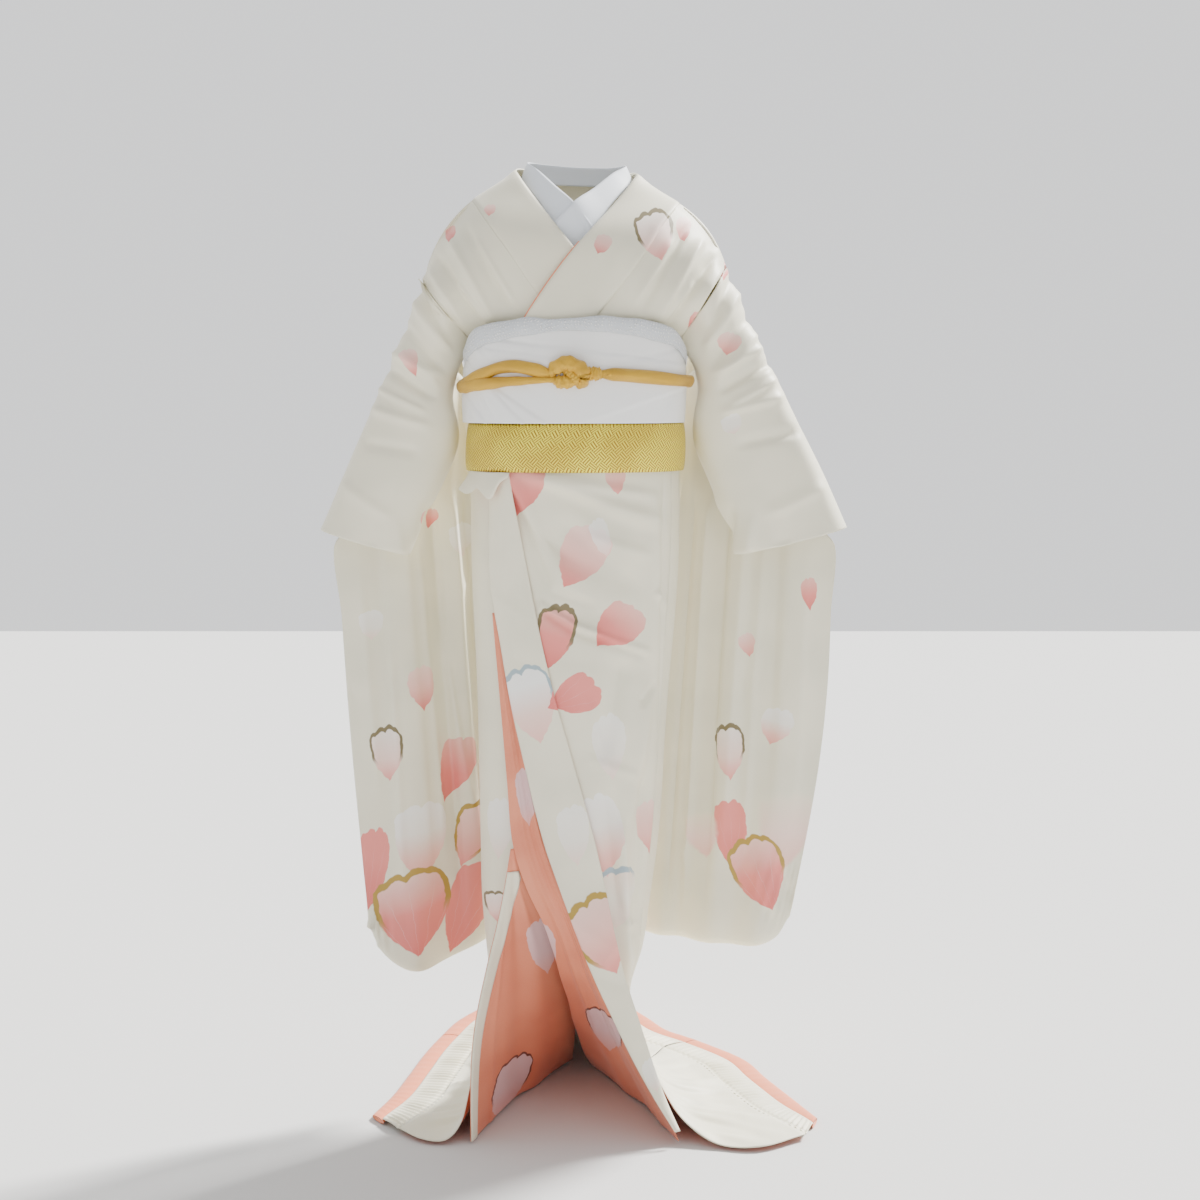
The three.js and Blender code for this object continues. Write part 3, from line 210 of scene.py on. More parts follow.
def new_object(name, vertices, faces, material, uvs=()):
    mesh = bpy.data.meshes.new(name)
    verts = np.array(vertices, float).reshape(-1, 3) - [0, 0, ORIGIN_HEIGHT]
    mesh.from_pydata((verts * MM).tolist(), [], faces)
    mesh.update()
    corner = np.zeros(len(mesh.loops), dtype=np.int32)
    mesh.loops.foreach_get("vertex_index", corner)
    for label, values in uvs:
        layer = mesh.uv_layers.new(name=label)
        flat = np.array(values, float).reshape(-1, 2)[corner]
        layer.data.foreach_set("uv", flat.ravel())
    mesh.polygons.foreach_set("use_smooth", [True] * len(mesh.polygons))
    mesh.materials.append(material)
    thing = bpy.data.objects.new(name, mesh)
    bpy.context.scene.collection.objects.link(thing)
    return thing


def grid_faces(rows, cols, loop=False, flip=False):
    i, j = np.meshgrid(np.arange(rows - 1), np.arange(cols if loop else cols - 1), indexing="ij")
    k = (j + 1) % cols
    quads = np.stack([i * cols + j, (i + 1) * cols + j, (i + 1) * cols + k, i * cols + k], -1).reshape(-1, 4)
    return (quads if flip else quads[:, ::-1]).tolist()


def cloth(name, grid, material, flip=False, loop=False, thick=1.2, lining=None, print_map=None):
    """One cloth shell on a grid of points, thickened inwards."""
    grid = np.asarray(grid, float)
    rows, cols = grid.shape[:2]
    if print_map is None:
        print_map = grid[..., [0, 2]]
    grain = np.stack([arc(grid, 1), arc(grid, 0)], -1)
    piece = new_object(f"{name}_cloth", grid, grid_faces(rows, cols, loop, flip), material,
                       [("print", print_map * MM), ("grain", grain * MM)])
    if thick:
        wall = piece.modifiers.new("wall", "SOLIDIFY")
        wall.thickness = thick * MM
        wall.offset = -1
        if lining:
            piece.data.materials.append(lining)
            wall.material_offset = 1
    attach(piece, "root")
    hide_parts(name)


# ---------------------------------------------------------------- the standing form

SECTIONS = table(
    "height left right front back",
    (1157, -147, 151, -108, 102), (1110, -145, 151, -108, 102), (1040, -146, 151, -109, 104),
    (976, -150, 151, -110, 110), (927, -151, 152, -107, 112), (840, -151, 150, -104, 112),
    (760, -148, 145, -101, 110), (660, -144, 138, -98, 107), (560, -142, 131, -95, 104),
    (430, -140, 122, -93, 98), (330, -138, 108, -91, 94), (250, -131, 97, -89, 91), (196, -126, 82, -87, 88))
SECTION_POWER = 2.2
ARMPIT = 1157
HIP = 976
ANKLE = 196


def section(height):
    left, right, front, back = (value(SECTIONS, c, height) for c in ("left", "right", "front", "back"))
    return (left + right) / 2, (right - left) / 2, (front + back) / 2, (back - front) / 2


def section_point(height, degrees, offset=0.0):
    cx, a, cy, b = section(height)
    s, c = math.sin(math.radians(degrees)), math.cos(math.radians(degrees))
    bend = [math.copysign(abs(v) ** (2 / SECTION_POWER), v) for v in (s, c)]
    return point(cx + (a + offset) * bend[0], cy - (b + offset) * bend[1], height)


def angle_at_x(height, x):
    cx, a, _, _ = section(height)
    share = min(0.999, abs(x - cx) / a) ** (SECTION_POWER / 2)
    return math.copysign(math.degrees(math.asin(share)), x - cx)


def skirt_front(x, height, offset=0.0):
    cx, a, cy, b = section(height)
    share = min(0.98, abs(x - cx) / (a + offset))
    return cy - (b + offset) * (1 - share**SECTION_POWER) ** (1 / SECTION_POWER)


CHEST = table(
    "height reach front back",
    (1157, 252, 106, 102), (1190, 247, 108, 106), (1240, 234, 102, 109), (1287, 209, 91, 108),
    (1321, 179, 73, 104), (1345, 160, 55, 100), (1364, 146, 42, 96))
CHEST_POWER = 2.4


def chest_depth(x, height, face):
    share = min(1, abs(x) / value(CHEST, "reach", height))
    return value(CHEST, face, height) * (1 - share**CHEST_POWER) ** (1 / CHEST_POWER)


# ---------------------------------------------------------------- collar line

COLLAR = table(
    "ix iy iz ox oy oz",
    (78, -92, 1177, -16, -106, 1177), (37, -95, 1241, -60, -100, 1236), (2, -92, 1288, -94, -86, 1286),
    (-22, -76, 1318, -119, -64, 1320), (-55, -34, 1362, -139, -28, 1350), (-79, 8, 1397, -147, 10, 1363),
    (-84, 42, 1411, -128, 58, 1358), (-56, 74, 1411, -78, 90, 1352), (2, 88, 1407, 1, 104, 1349),
    (62, 73, 1406, 80, 90, 1350), (90, 42, 1405, 130, 58, 1354), (84, 8, 1391, 151, 10, 1358),
    (57, -34, 1354, 142, -32, 1346), (23, -77, 1314, 121, -66, 1318), (-1, -92, 1286, 101, -86, 1286),
    (-30, -100, 1248, 66, -100, 1237), (-60, -106, 1204, 35, -106, 1199), (-76, -107, 1177, 20, -107, 1177))


def edge_curve(rows, names):
    return Curve([[row[c] for c in names] for row in rows])


neck_line = edge_curve(COLLAR, ("ix", "iy", "iz"))
seam_line = edge_curve(COLLAR, ("ox", "oy", "oz"))


def at_station(index):
    return index / (len(COLLAR) - 1)


# ---------------------------------------------------------------- body panels

SHOULDERS = {
    "right": dict(sign=-1, ridge=4.75, obi=0, nape=8, top=(-218, 1243), bulge=13),
    "left": dict(sign=1, ridge=11.25, obi=17, nape=8, top=(218, 1266), bulge=11),
}
LEFT_SEAM = table("height angle", (1157, 80), (1040, 78), (976, 66), (560, 66), (330, 66), (196, 74))
RIGHT_SEAM_ANGLE = -84
LEFT_INNER_EDGE = table(
    "height x", (1157, 22), (1040, -40), (976, -104), (932, -108), (859, -92), (785, -82), (675, -58),
    (560, -32), (400, 8), (260, 52), (196, 66))
RIGHT_INNER_EDGE = table(
    "height x", (1157, -20), (1040, 10), (976, 40), (800, 0), (600, -45), (400, -88), (260, -112),
    (196, -120))
LAYER = {"left": 8, "band": 12.5}

HEM = {
    "right": Curve([(-305, -36, 0), (-283, 50, 0), (-266, 150, 0), (-250, 250, 0), (-230, 340, 0),
                    (-206, 425, 0), (-160, 505, 0), (-90, 550, 0), (0, 565, 0)]),
    "left": Curve([(362, -49, 0), (331, 41, 0), (301, 126, 0), (272, 215, 0), (201, 313, 0),
                   (150, 370, 0), (118, 440, 0), (72, 520, 0), (0, 565, 0)]),
}
SEAM_SHARE = 0.0016
SIDE_SEAM_SHARE = 0.5
ROLL_WIDTH = 36
GATHER_WIDTH = 42
HEM_WIDTH = ROLL_WIDTH + GATHER_WIDTH
HEM_HEIGHT = 9
FLOOR_CLEAR = 1
CORNER_CUT = {"right": point(0.576, -0.817, 0), "left": point(-0.3, -0.954, 0)}
FREE_EDGE = {
    "right": Curve([(-124, -72, 196), (-143, -90, 120), (-157, -112, 55), (-174, -142, 12),
                    (-214, -142, 7), (-260, -99, 9)]),
    "left": Curve([(66, -94, 196), (102, -104, 122), (136, -114, 58), (184, -148, 12),
                   (256, -172, 7), (338, -124, 9)]),
}
TRAIN_ROWS = 6


def unit(v):
    return v / np.linalg.norm(v)


def hem_point(side, share, inward, height):
    along = HEM[side].tangent(share)
    across = point(-along[1], along[0], 0) * (1 if side == "left" else -1)
    across = unit(lerp(across, point(0, -1, 0), smooth((share - 0.85) / 0.15)))
    across = unit(lerp(across, CORNER_CUT[side], 1 - smooth(share / 0.16)))
    place = HEM[side].at(share) + across * inward
    place[2] = height
    return place


def sweep_point(side, foot, hem_share, t):
    hem = hem_point(side, hem_share, HEM_WIDTH, HEM_HEIGHT)
    drop = foot - [0, 0, 140]
    sweep = point(lerp(hem[0], foot[0], 0.42), lerp(hem[1], foot[1], 0.42), 26)
    u = 1 - t
    return u**3 * foot + 3 * u * u * t * drop + 3 * u * t * t * sweep + t**3 * hem


FRONT_CREASES = table(
    "x height lean depth half run",
    (-60, 900, -0.9, 3.2, 14, 120), (0, 850, -0.55, 3.6, 16, 150), (60, 905, -0.35, 2.6, 13, 120),
    (8, 770, -0.08, 4.4, 15, 70), (70, 690, -0.2, 2.6, 14, 90), (88, 520, -1.9, 3.4, 16, 160),
    (60, 350, -2.6, 4.2, 14, 140))


def crease_depth(grid):
    """Troughs of the outer skirt front, as the solid has them."""
    total = np.zeros(grid.shape[:-1])
    for crease in FRONT_CREASES:
        length = math.hypot(1, crease["lean"])
        dx, dz = grid[..., 0] - crease["x"], grid[..., 2] - crease["height"]
        along = (dx + crease["lean"] * dz) / length
        across = (dz - crease["lean"] * dx) / length
        total += crease["depth"] * np.exp(-((across / crease["half"]) ** 2) - (along / crease["run"]) ** 2)
    return total


def seam_angle(side, height):
    return value(LEFT_SEAM, "angle", height) if side == "left" else RIGHT_SEAM_ANGLE


def front_point(side, share, height):
    edge = LEFT_INNER_EDGE if side == "left" else RIGHT_INNER_EDGE
    inner = angle_at_x(height, value(edge, "x", height))
    seam = seam_angle(side, height)
    layer = LAYER["left"] * smooth((1 - share) * 1.6) if side == "left" else 0
    return section_point(height, lerp(inner, seam - math.copysign(0.1, seam), share), layer)


def back_point(side, share, height):
    seam = seam_angle(side, height)
    centre = 179.9 if side == "left" else -179.9
    return section_point(height, lerp(centre, seam + math.copysign(0.1, seam), share))


def panel_point(side, face, share, height):
    return (front_point if face == "front" else back_point)(side, share, height)


FLARE = 1.35


def armhole_point(side, face, rise):
    foot = panel_point(side, face, 1, ARMPIT)
    top = SHOULDERS[side]["top"]
    x, z = lerp(foot[0], top[0], rise), lerp(foot[2], top[1], rise)
    y = chest_depth(x, z, face) * (1 - rise**5) ** 0.5 * (-1 if face == "front" else 1)
    return point(x, lerp(foot[1], y, smooth(rise * FLARE)), z)


RISES = {
    "front": [1, 0.97, 0.9, 0.79, 0.65, 0.48, 0.3, 0.14, 0],
    "back": [1, 0.98, 0.93, 0.86, 0.74, 0.58, 0.4, 0.2, 0],
}
BACK_COLLAR_ROWS = 3


def bodice_inner(side, face, index):
    shoulder = SHOULDERS[side]
    if face == "front":
        rise = RISES["front"][index]
        low = front_point(side, 0, ARMPIT)
        station = lerp(shoulder["obi"], shoulder["ridge"], min(max((rise - 0.14) / 0.86, 0), 1))
        seam = seam_line.at(at_station(station))
        return seam if rise > 0.14 else lerp(low, seam, rise / 0.14)
    if index <= BACK_COLLAR_ROWS:
        return seam_line.at(at_station(lerp(shoulder["ridge"], shoulder["nape"], index / BACK_COLLAR_ROWS)))
    top = seam_line.at(at_station(shoulder["nape"]))
    down = (index - BACK_COLLAR_ROWS) / (len(RISES["back"]) - 1 - BACK_COLLAR_ROWS)
    height = lerp(top[2], ARMPIT, down)
    depth = lerp(chest_depth(0, height, "back"), back_point(side, 0, ARMPIT)[1], smooth(down * 2 - 1))
    return point(shoulder["sign"] * SEAM / 2, lerp(top[1], depth, smooth(down * 3)), height)


def chest_layer(side, x):
    return 6 * smooth((150 - x) / 70) if side == "left" else 0


def bodice_point(side, face, index, share):
    rise = RISES[face][index]
    foot = panel_point(side, face, share, ARMPIT)
    if rise == 0:
        return foot
    inner, outer = bodice_inner(side, face, index), armhole_point(side, face, rise)
    shoulder = SHOULDERS[side]
    swell = shoulder["bulge"] * 4 * share * (1 - share) * rise**4
    x = lerp(inner[0], outer[0], share) + shoulder["sign"] * swell * 0.86
    z = lerp(inner[2], outer[2], share) + swell * 0.51
    facing = -1 if face == "front" else 1
    layer = chest_layer(side, x) if face == "front" else 0
    fall = (1 - rise**5) ** 0.5
    flare = smooth(rise * FLARE)
    y = lerp(foot[1], facing * (chest_depth(x, z, face) * fall + layer), flare)
    start = panel_point(side, face, 0, ARMPIT)[1]
    at_inner = lerp(start, facing * chest_depth(inner[0], inner[2], face) * fall, flare)
    correction = (inner[1] - at_inner) * (1 - share) ** 2.5
    return point(x, y + correction * smooth(rise * 4), z)


STANDING_HEIGHTS = {
    "left": [1100, 1040, HIP, 930, 890, 850, 810, 770, 730, 680, 620, 560, 500, 440, 380, 320, 260, ANKLE],
    "right": [1100, 1040, HIP, 900, 820, 740, 660, 580, 500, 420, 340, 260, ANKLE],
}


def train_point(side, face, share, t):
    foot = panel_point(side, face, share, ANKLE)
    if face == "back":
        place = sweep_point(side, foot, lerp(1, SIDE_SEAM_SHARE + SEAM_SHARE, share), t)
        if share == 0:
            place[0] += SHOULDERS[side]["sign"] * SEAM / 2
        return place
    place = sweep_point(side, foot, share * (SIDE_SEAM_SHARE - SEAM_SHARE), t)
    bare = sweep_point(side, front_point(side, 0, ANKLE), 0, t)
    return place + (FREE_EDGE[side].at(t) - bare) * (1 - share) ** 2


def panel_rows(side, face, columns):
    """A body panel from the shoulder ridge down to the stitch line of the hem."""
    shares = steps(columns)
    rows = [[bodice_point(side, face, i, s) for s in shares] for i in range(len(RISES[face]))]
    for place in rows[0]:
        place[1] = -SEAM / 2 if face == "front" else SEAM / 2
    rows += [[panel_point(side, face, s, h) for s in shares] for h in STANDING_HEIGHTS[side]]
    rows += [[train_point(side, face, s, t) for s in shares] for t in steps(TRAIN_ROWS)[1:]]
    return np.array(rows)


def unrolled_print(grid):
    """Print coordinates: as seen from the front, and by cloth length once on the floor."""
    flat = grid[..., [0, 2]].copy()
    ankle = int(np.argmin(np.abs(grid[:, 0, 2] - ANKLE)))
    below = arc(grid[ankle:], 0)
    flat[ankle:, :, 1] = grid[ankle, :, 2][None, :] - below
    return flat


# ---------------------------------------------------------------- materials


def srgb(*parts):
    """A colour from red, green and blue of 0 to 255, as the shaders take it."""
    return tuple(v / 255 / 12.92 if v < 11 else ((v / 255 + 0.055) / 1.055) ** 2.4 for v in parts) + (1,)


def tinted(colour, share):
    return tuple(min(1, c * share) for c in colour[:3]) + (1,)


IVORY = srgb(241, 235, 210)
IVORY_SHADE = srgb(231, 226, 202)
CORAL_LINING = srgb(236, 138, 98)
CORAL_SHADE = srgb(220, 118, 80)
WHITE = srgb(247, 247, 246)
UNDER_WHITE = srgb(236, 241, 248)
GOLD_LIGHT = srgb(250, 222, 66)
GOLD_DARK = srgb(150, 104, 10)
CORD_LIGHT = srgb(234, 184, 50)
CORD_DARK = srgb(150, 104, 20)


class Nodes:
    """Short calls to build a node tree."""

    def __init__(self, tree):
        self.tree = tree

    def add(self, kind, inputs=(), **settings):
        node = self.tree.nodes.new(kind)
        for name, setting in settings.items():
            setattr(node, name, setting)
        for name, source in dict(inputs).items():
            socket = node.inputs[name]
            if isinstance(source, bpy.types.NodeSocket):
                self.tree.links.new(source, socket)
            else:
                socket.default_value = source
        return node

    def math(self, operation, a, b=0.0, c=0.0, clamp=False):
        return self.add("ShaderNodeMath", {0: a, 1: b, 2: c}, operation=operation, use_clamp=clamp).outputs[0]

    def mix(self, factor, a, b, blend="MIX"):
        node = self.add("ShaderNodeMix", {0: factor, 6: a, 7: b}, data_type="RGBA", blend_type=blend)
        return node.outputs[2]

    def between(self, x, low, high, kind="SMOOTHSTEP"):
        node = self.add("ShaderNodeMapRange", {"Value": x, "From Min": low, "From Max": high},
                        interpolation_type=kind)
        return node.outputs[0]

    def ramp(self, factor, *stops):
        node = self.add("ShaderNodeValToRGB", {"Fac": factor})
        ramp = node.color_ramp
        while len(ramp.elements) < len(stops):
            ramp.elements.new(0.5)
        for element, (place, colour) in zip(ramp.elements, stops):
            element.position = place
            element.color = colour
        return node.outputs[0]


def new_material(name):
    material = bpy.data.materials.new(name)
    material.use_nodes = True
    nodes = Nodes(material.node_tree)
    shader = material.node_tree.nodes["Principled BSDF"]
    return material, nodes, shader


def set_shader(shader, **values):
    for name, setting in values.items():
        shader.inputs[name.replace("_", " ")].default_value = setting


def curve_points(node, *places):
    curve = node.mapping.curves[0]
    while len(curve.points) < len(places):
        curve.points.new(0.5, 0.5)
    for spot, place in zip(curve.points, places):
        spot.location = place
    node.mapping.update()


def petal_group():
    """Shape of a cherry petal on a square from -1 to 1, tip down: how far inside its edge
    a place is, its share of the height, and fine veins fanning from the tip."""
    tree = bpy.data.node_groups.new("petal_shape", "ShaderNodeTree")
    tree.interface.new_socket("place", in_out="INPUT", socket_type="NodeSocketVector")
    for name in ("inside", "height", "veins"):
        tree.interface.new_socket(name, in_out="OUTPUT", socket_type="NodeSocketFloat")
    nodes = Nodes(tree)
    start = nodes.add("NodeGroupInput")
    end = nodes.add("NodeGroupOutput")
    split = nodes.add("ShaderNodeSeparateXYZ", {0: start.outputs[0]})
    up = split.outputs[1]
    height = nodes.math("MULTIPLY_ADD", up, 0.5, 0.5)
    low = nodes.math("SUBTRACT", 1.0, height, clamp=True)
    across = nodes.math("MULTIPLY_ADD", nodes.math("MULTIPLY", low, low), 0.2, split.outputs[0])
    sides = nodes.add("ShaderNodeFloatCurve", {"Value": height})
    curve_points(sides, (0, 0), (0.06, 0.13), (0.16, 0.42), (0.3, 0.73), (0.45, 0.92), (0.58, 1.0),
                 (0.78, 0.99), (0.9, 0.94), (1, 0.86))
    top = nodes.add("ShaderNodeFloatCurve", {"Value": nodes.math("MULTIPLY_ADD", across, 0.5, 0.5)})
    curve_points(top, (0, 0.79), (0.06, 0.87), (0.13, 0.915), (0.2, 0.92), (0.28, 0.955), (0.38, 0.985),
                 (0.45, 0.975), (0.49, 0.948), (0.53, 0.965), (0.62, 1.0), (0.72, 0.985), (0.77, 0.955),
                 (0.83, 0.95), (0.9, 0.9), (1, 0.76))
    from_side = nodes.math("SUBTRACT", sides.outputs[0], nodes.math("ABSOLUTE", across))
    from_top = nodes.math("MULTIPLY", nodes.math("SUBTRACT", top.outputs[0], height), 2.0)
    inside = nodes.math("SMOOTH_MIN", from_side, from_top, 0.06)
    fan = nodes.math("DIVIDE", across, nodes.math("ADD", height, 0.12))
    lines = nodes.math("ABSOLUTE", nodes.math("SINE", nodes.math("MULTIPLY", fan, 4.2)))
    veins = nodes.math("MULTIPLY", nodes.between(lines, 0.055, 0.0), nodes.between(height, 0.92, 0.45))
    nodes.tree.links.new(inside, end.inputs["inside"])
    nodes.tree.links.new(height, end.inputs["height"])
    nodes.tree.links.new(veins, end.inputs["veins"])
    return tree


PETAL_SHAPE = petal_group()
PINK, CORAL, DEEP = srgb(246, 188, 176), srgb(240, 134, 126), srgb(226, 104, 100)
BLUSH, PALE, SNOW = srgb(249, 214, 203), srgb(246, 240, 232), srgb(250, 249, 246)
KHAKI, GOLD_LINE, BLUE_GRAY = srgb(122, 110, 78), srgb(176, 146, 66), srgb(160, 178, 186)
MAUVE, MAUVE_PINK, BROWN_LINE = srgb(226, 196, 200), srgb(236, 176, 168), srgb(112, 60, 48)

# Petal styles: colours from the tip up, strength, edge softness, outline colour and
# width (a share of the petal), the height the outline starts at, and whether it has veins.
STYLES = {
    "blush": dict(ramp=((0.0, CORAL), (0.55, PINK), (1.0, BLUSH)), strength=0.9),
    "pink": dict(ramp=((0.0, DEEP), (0.5, PINK), (1.0, BLUSH)), strength=0.95),
    "coral": dict(ramp=((0.0, DEEP), (0.45, CORAL), (1.0, PINK)), strength=0.95),
    "deep": dict(ramp=((0.0, DEEP), (0.6, CORAL), (1.0, CORAL)), strength=0.95, veins=0.35),
    "pale": dict(ramp=((0.0, CORAL), (0.3, PINK), (0.62, PALE), (1.0, SNOW)), strength=0.85, veins=0.2),
    "faint": dict(ramp=((0.0, BLUSH), (0.4, PALE), (1.0, SNOW)), strength=0.7),
    "bokashi": dict(ramp=((0.0, PINK), (0.45, BLUSH), (1.0, IVORY)), strength=0.9, soft=0.3),
    "khaki": dict(ramp=((0.0, CORAL), (0.4, BLUSH), (1.0, PALE)), strength=0.9, line=KHAKI, width=0.15,
                  start=0.3),
    "khaki_coral": dict(ramp=((0.0, DEEP), (0.5, CORAL), (1.0, PINK)), strength=0.95, line=KHAKI, width=0.16,
                        start=0.3),
    "gold": dict(ramp=((0.0, DEEP), (0.5, CORAL), (1.0, BLUSH)), strength=0.95, line=GOLD_LINE, width=0.12,
                 start=0.35, veins=0.4),
    "gold_pink": dict(ramp=((0.0, CORAL), (0.5, PINK), (1.0, BLUSH)), strength=0.95, line=GOLD_LINE,
                      width=0.14, start=0.12),
    "blue_gray": dict(ramp=((0.0, PINK), (0.4, BLUSH), (0.75, SNOW), (1.0, SNOW)), strength=0.95,
                      line=BLUE_GRAY, width=0.1, start=0.42),
    # painted shade: the band's gold-lined petal where it runs on over the skirt in the fold's shade, its gold
    # outline painted grey-blue and its fill faint
    "gold_petal_in_painted_shade": dict(ramp=((0.0, BLUSH), (0.5, PALE), (1.0, BLUSH)), strength=0.5, line=BLUE_GRAY,
                      width=0.16, start=0.7),
    "mauve": dict(ramp=((0.0, MAUVE_PINK), (0.4, MAUVE), (1.0, MAUVE)), strength=0.85),
    "mauve_line": dict(ramp=((0.0, MAUVE_PINK), (0.5, MAUVE), (1.0, MAUVE)), strength=0.9, line=BROWN_LINE,
                       width=0.055, start=0.3),
}


def paint_petal(nodes, place, colour, x, height, width, length, turn, style):
    """The cloth's colour with one petal over it. x and height are its middle, in
    millimetres; turn swings its tip towards the wearer's left, in degrees."""
    look = STYLES[style]
    local = nodes.add("ShaderNodeMapping", {
        "Vector": place, "Location": (x * MM, height * MM, 0), "Rotation": (0, 0, math.radians(turn)),
        "Scale": (width / 2 * MM, length / 2 * MM, 1)}, vector_type="TEXTURE")
    shape = nodes.add("ShaderNodeGroup")
    shape.node_tree = PETAL_SHAPE
    nodes.tree.links.new(local.outputs[0], shape.inputs[0])
    inside, up, veins = shape.outputs
    soft = look.get("soft", 0.035)
    fill = nodes.ramp(up, *look["ramp"])
    if look.get("veins"):
        fill = nodes.mix(nodes.math("MULTIPLY", veins, look["veins"]), fill, SNOW)
    mask = nodes.math("MULTIPLY", nodes.between(inside, 0.0, soft), look["strength"])
    painted = nodes.mix(mask, colour, fill)
    if "line" not in look:
        return painted
    width = look["width"]
    rim = nodes.math("SUBTRACT", nodes.between(inside, -0.03, 0.0),
                     nodes.between(inside, width, width + 0.03))
    upper = nodes.between(up, look["start"], look["start"] + 0.2)
    rim = nodes.math("MULTIPLY", rim, upper, clamp=True)
    return nodes.mix(rim, painted, look["line"])


def crepe(nodes, shader, strength=0.35):
    """Fine irregular grain of silk crepe, along the cloth."""
    uv = nodes.add("ShaderNodeUVMap", uv_map="grain").outputs[0]
    grain = nodes.add("ShaderNodeMapping", {"Vector": uv, "Scale": (1.0, 0.55, 1.0)}).outputs[0]
    fine = nodes.add("ShaderNodeTexNoise", {"Vector": grain, "Scale": 900.0, "Detail": 2.0}).outputs[0]
    yarn = nodes.add("ShaderNodeTexWave", {"Vector": uv, "Scale": 260.0, "Distortion": 2.5, "Detail": 1.0,
                                           "Detail Scale": 2.0}, bands_direction="Y").outputs[1]
    height = nodes.math("ADD", nodes.math("MULTIPLY", fine, 0.8), nodes.math("MULTIPLY", yarn, 0.25))
    bump = nodes.add("ShaderNodeBump", {"Height": height, "Strength": strength, "Distance": 0.0004})
    nodes.tree.links.new(bump.outputs[0], shader.inputs["Normal"])
    return fine


PETAL_WOBBLE = 0.005             # metres that a petal's edge wanders


def silk(name, petals=(), base=IVORY, shade=IVORY_SHADE):
    material, nodes, shader = new_material(name)
    grain = crepe(nodes, shader)
    uv = nodes.add("ShaderNodeUVMap", uv_map="print").outputs[0]
    clouds = nodes.add("ShaderNodeTexNoise", {"Vector": uv, "Scale": 9.0, "Detail": 2.0}).outputs[0]
    colour = nodes.mix(nodes.between(clouds, 0.35, 0.7), base, shade)
    colour = nodes.mix(nodes.math("MULTIPLY", grain, 0.12), colour, SNOW)
    if petals:
        wobble = nodes.add("ShaderNodeTexNoise", {"Vector": uv, "Scale": 90.0, "Detail": 1.0}).outputs[1]
        shift = nodes.add("ShaderNodeVectorMath", {0: wobble, 1: (-0.5, -0.5, -0.5)}, operation="ADD")
        small = nodes.add("ShaderNodeVectorMath", {0: shift.outputs[0], "Scale": PETAL_WOBBLE},
                          operation="SCALE")
        place = nodes.add("ShaderNodeVectorMath", {0: uv, 1: small.outputs[0]}, operation="ADD").outputs[0]
        for petal in petals:
            colour = paint_petal(nodes, place, colour, *petal)
    nodes.tree.links.new(colour, shader.inputs["Base Color"])
    set_shader(shader, Roughness=0.5, Sheen_Weight=0.22, Sheen_Roughness=0.35, Specular_IOR_Level=0.38)
    return material


def plain_cloth(name, colour, roughness=0.55, sheen=0.2, grain=0.3):
    material, nodes, shader = new_material(name)
    fine = crepe(nodes, shader, grain)
    mixed = nodes.mix(nodes.math("MULTIPLY", fine, 0.18), colour, tinted(colour, 0.86))
    nodes.tree.links.new(mixed, shader.inputs["Base Color"])
    set_shader(shader, Roughness=roughness, Sheen_Weight=sheen, Sheen_Roughness=0.4, Specular_IOR_Level=0.35)
    return material


def brocade(name, light, dark, pitch):
    """Gold brocade: short bars in a basket of two directions, raised over a dark ground."""
    material, nodes, shader = new_material(name)
    uv = nodes.add("ShaderNodeUVMap", uv_map="grain").outputs[0]
    split = nodes.add("ShaderNodeSeparateXYZ", {0: uv})
    u, v = (nodes.math("MULTIPLY", split.outputs[k], 1 / (pitch * MM)) for k in (0, 1))
    across = nodes.math("ADD", u, v)
    along = nodes.math("SUBTRACT", u, v)
    square = nodes.math("ADD", nodes.math("FLOOR", across), nodes.math("FLOOR", along))
    half = nodes.math("FLOORED_MODULO", square, 2.0)
    bars = [nodes.math("PINGPONG", nodes.math("MULTIPLY", way, 3.0), 0.5) for way in (across, along)]
    pattern = nodes.math("ADD", nodes.math("MULTIPLY", bars[0], half),
                         nodes.math("MULTIPLY", bars[1], nodes.math("SUBTRACT", 1.0, half)))
    raised = nodes.between(pattern, 0.12, 0.3)
    thread = nodes.add("ShaderNodeTexNoise", {"Vector": uv, "Scale": 1500.0, "Detail": 1.0}).outputs[0]
    glint = nodes.mix(nodes.between(thread, 0.4, 0.62), light, tinted(light, 1.35))
    broad = nodes.add("ShaderNodeTexNoise", {"Vector": uv, "Scale": 14.0, "Detail": 1.0}).outputs[0]
    # the gold is darker in random broad patches
    darker_gold = nodes.mix(0.6, glint, tinted(light, 0.78))
    glint = nodes.mix(nodes.between(broad, 0.42, 0.62), glint, darker_gold)
    colour = nodes.mix(raised, dark, glint)
    nodes.tree.links.new(colour, shader.inputs["Base Color"])
    height = nodes.math("ADD", raised, nodes.math("MULTIPLY", thread, 0.4))
    bump = nodes.add("ShaderNodeBump", {"Height": height, "Strength": 0.5, "Distance": 0.0006})
    nodes.tree.links.new(bump.outputs[0], shader.inputs["Normal"])
    set_shader(shader, Roughness=0.4, Metallic=0.35, Specular_IOR_Level=0.5, Sheen_Weight=0.1)
    return material


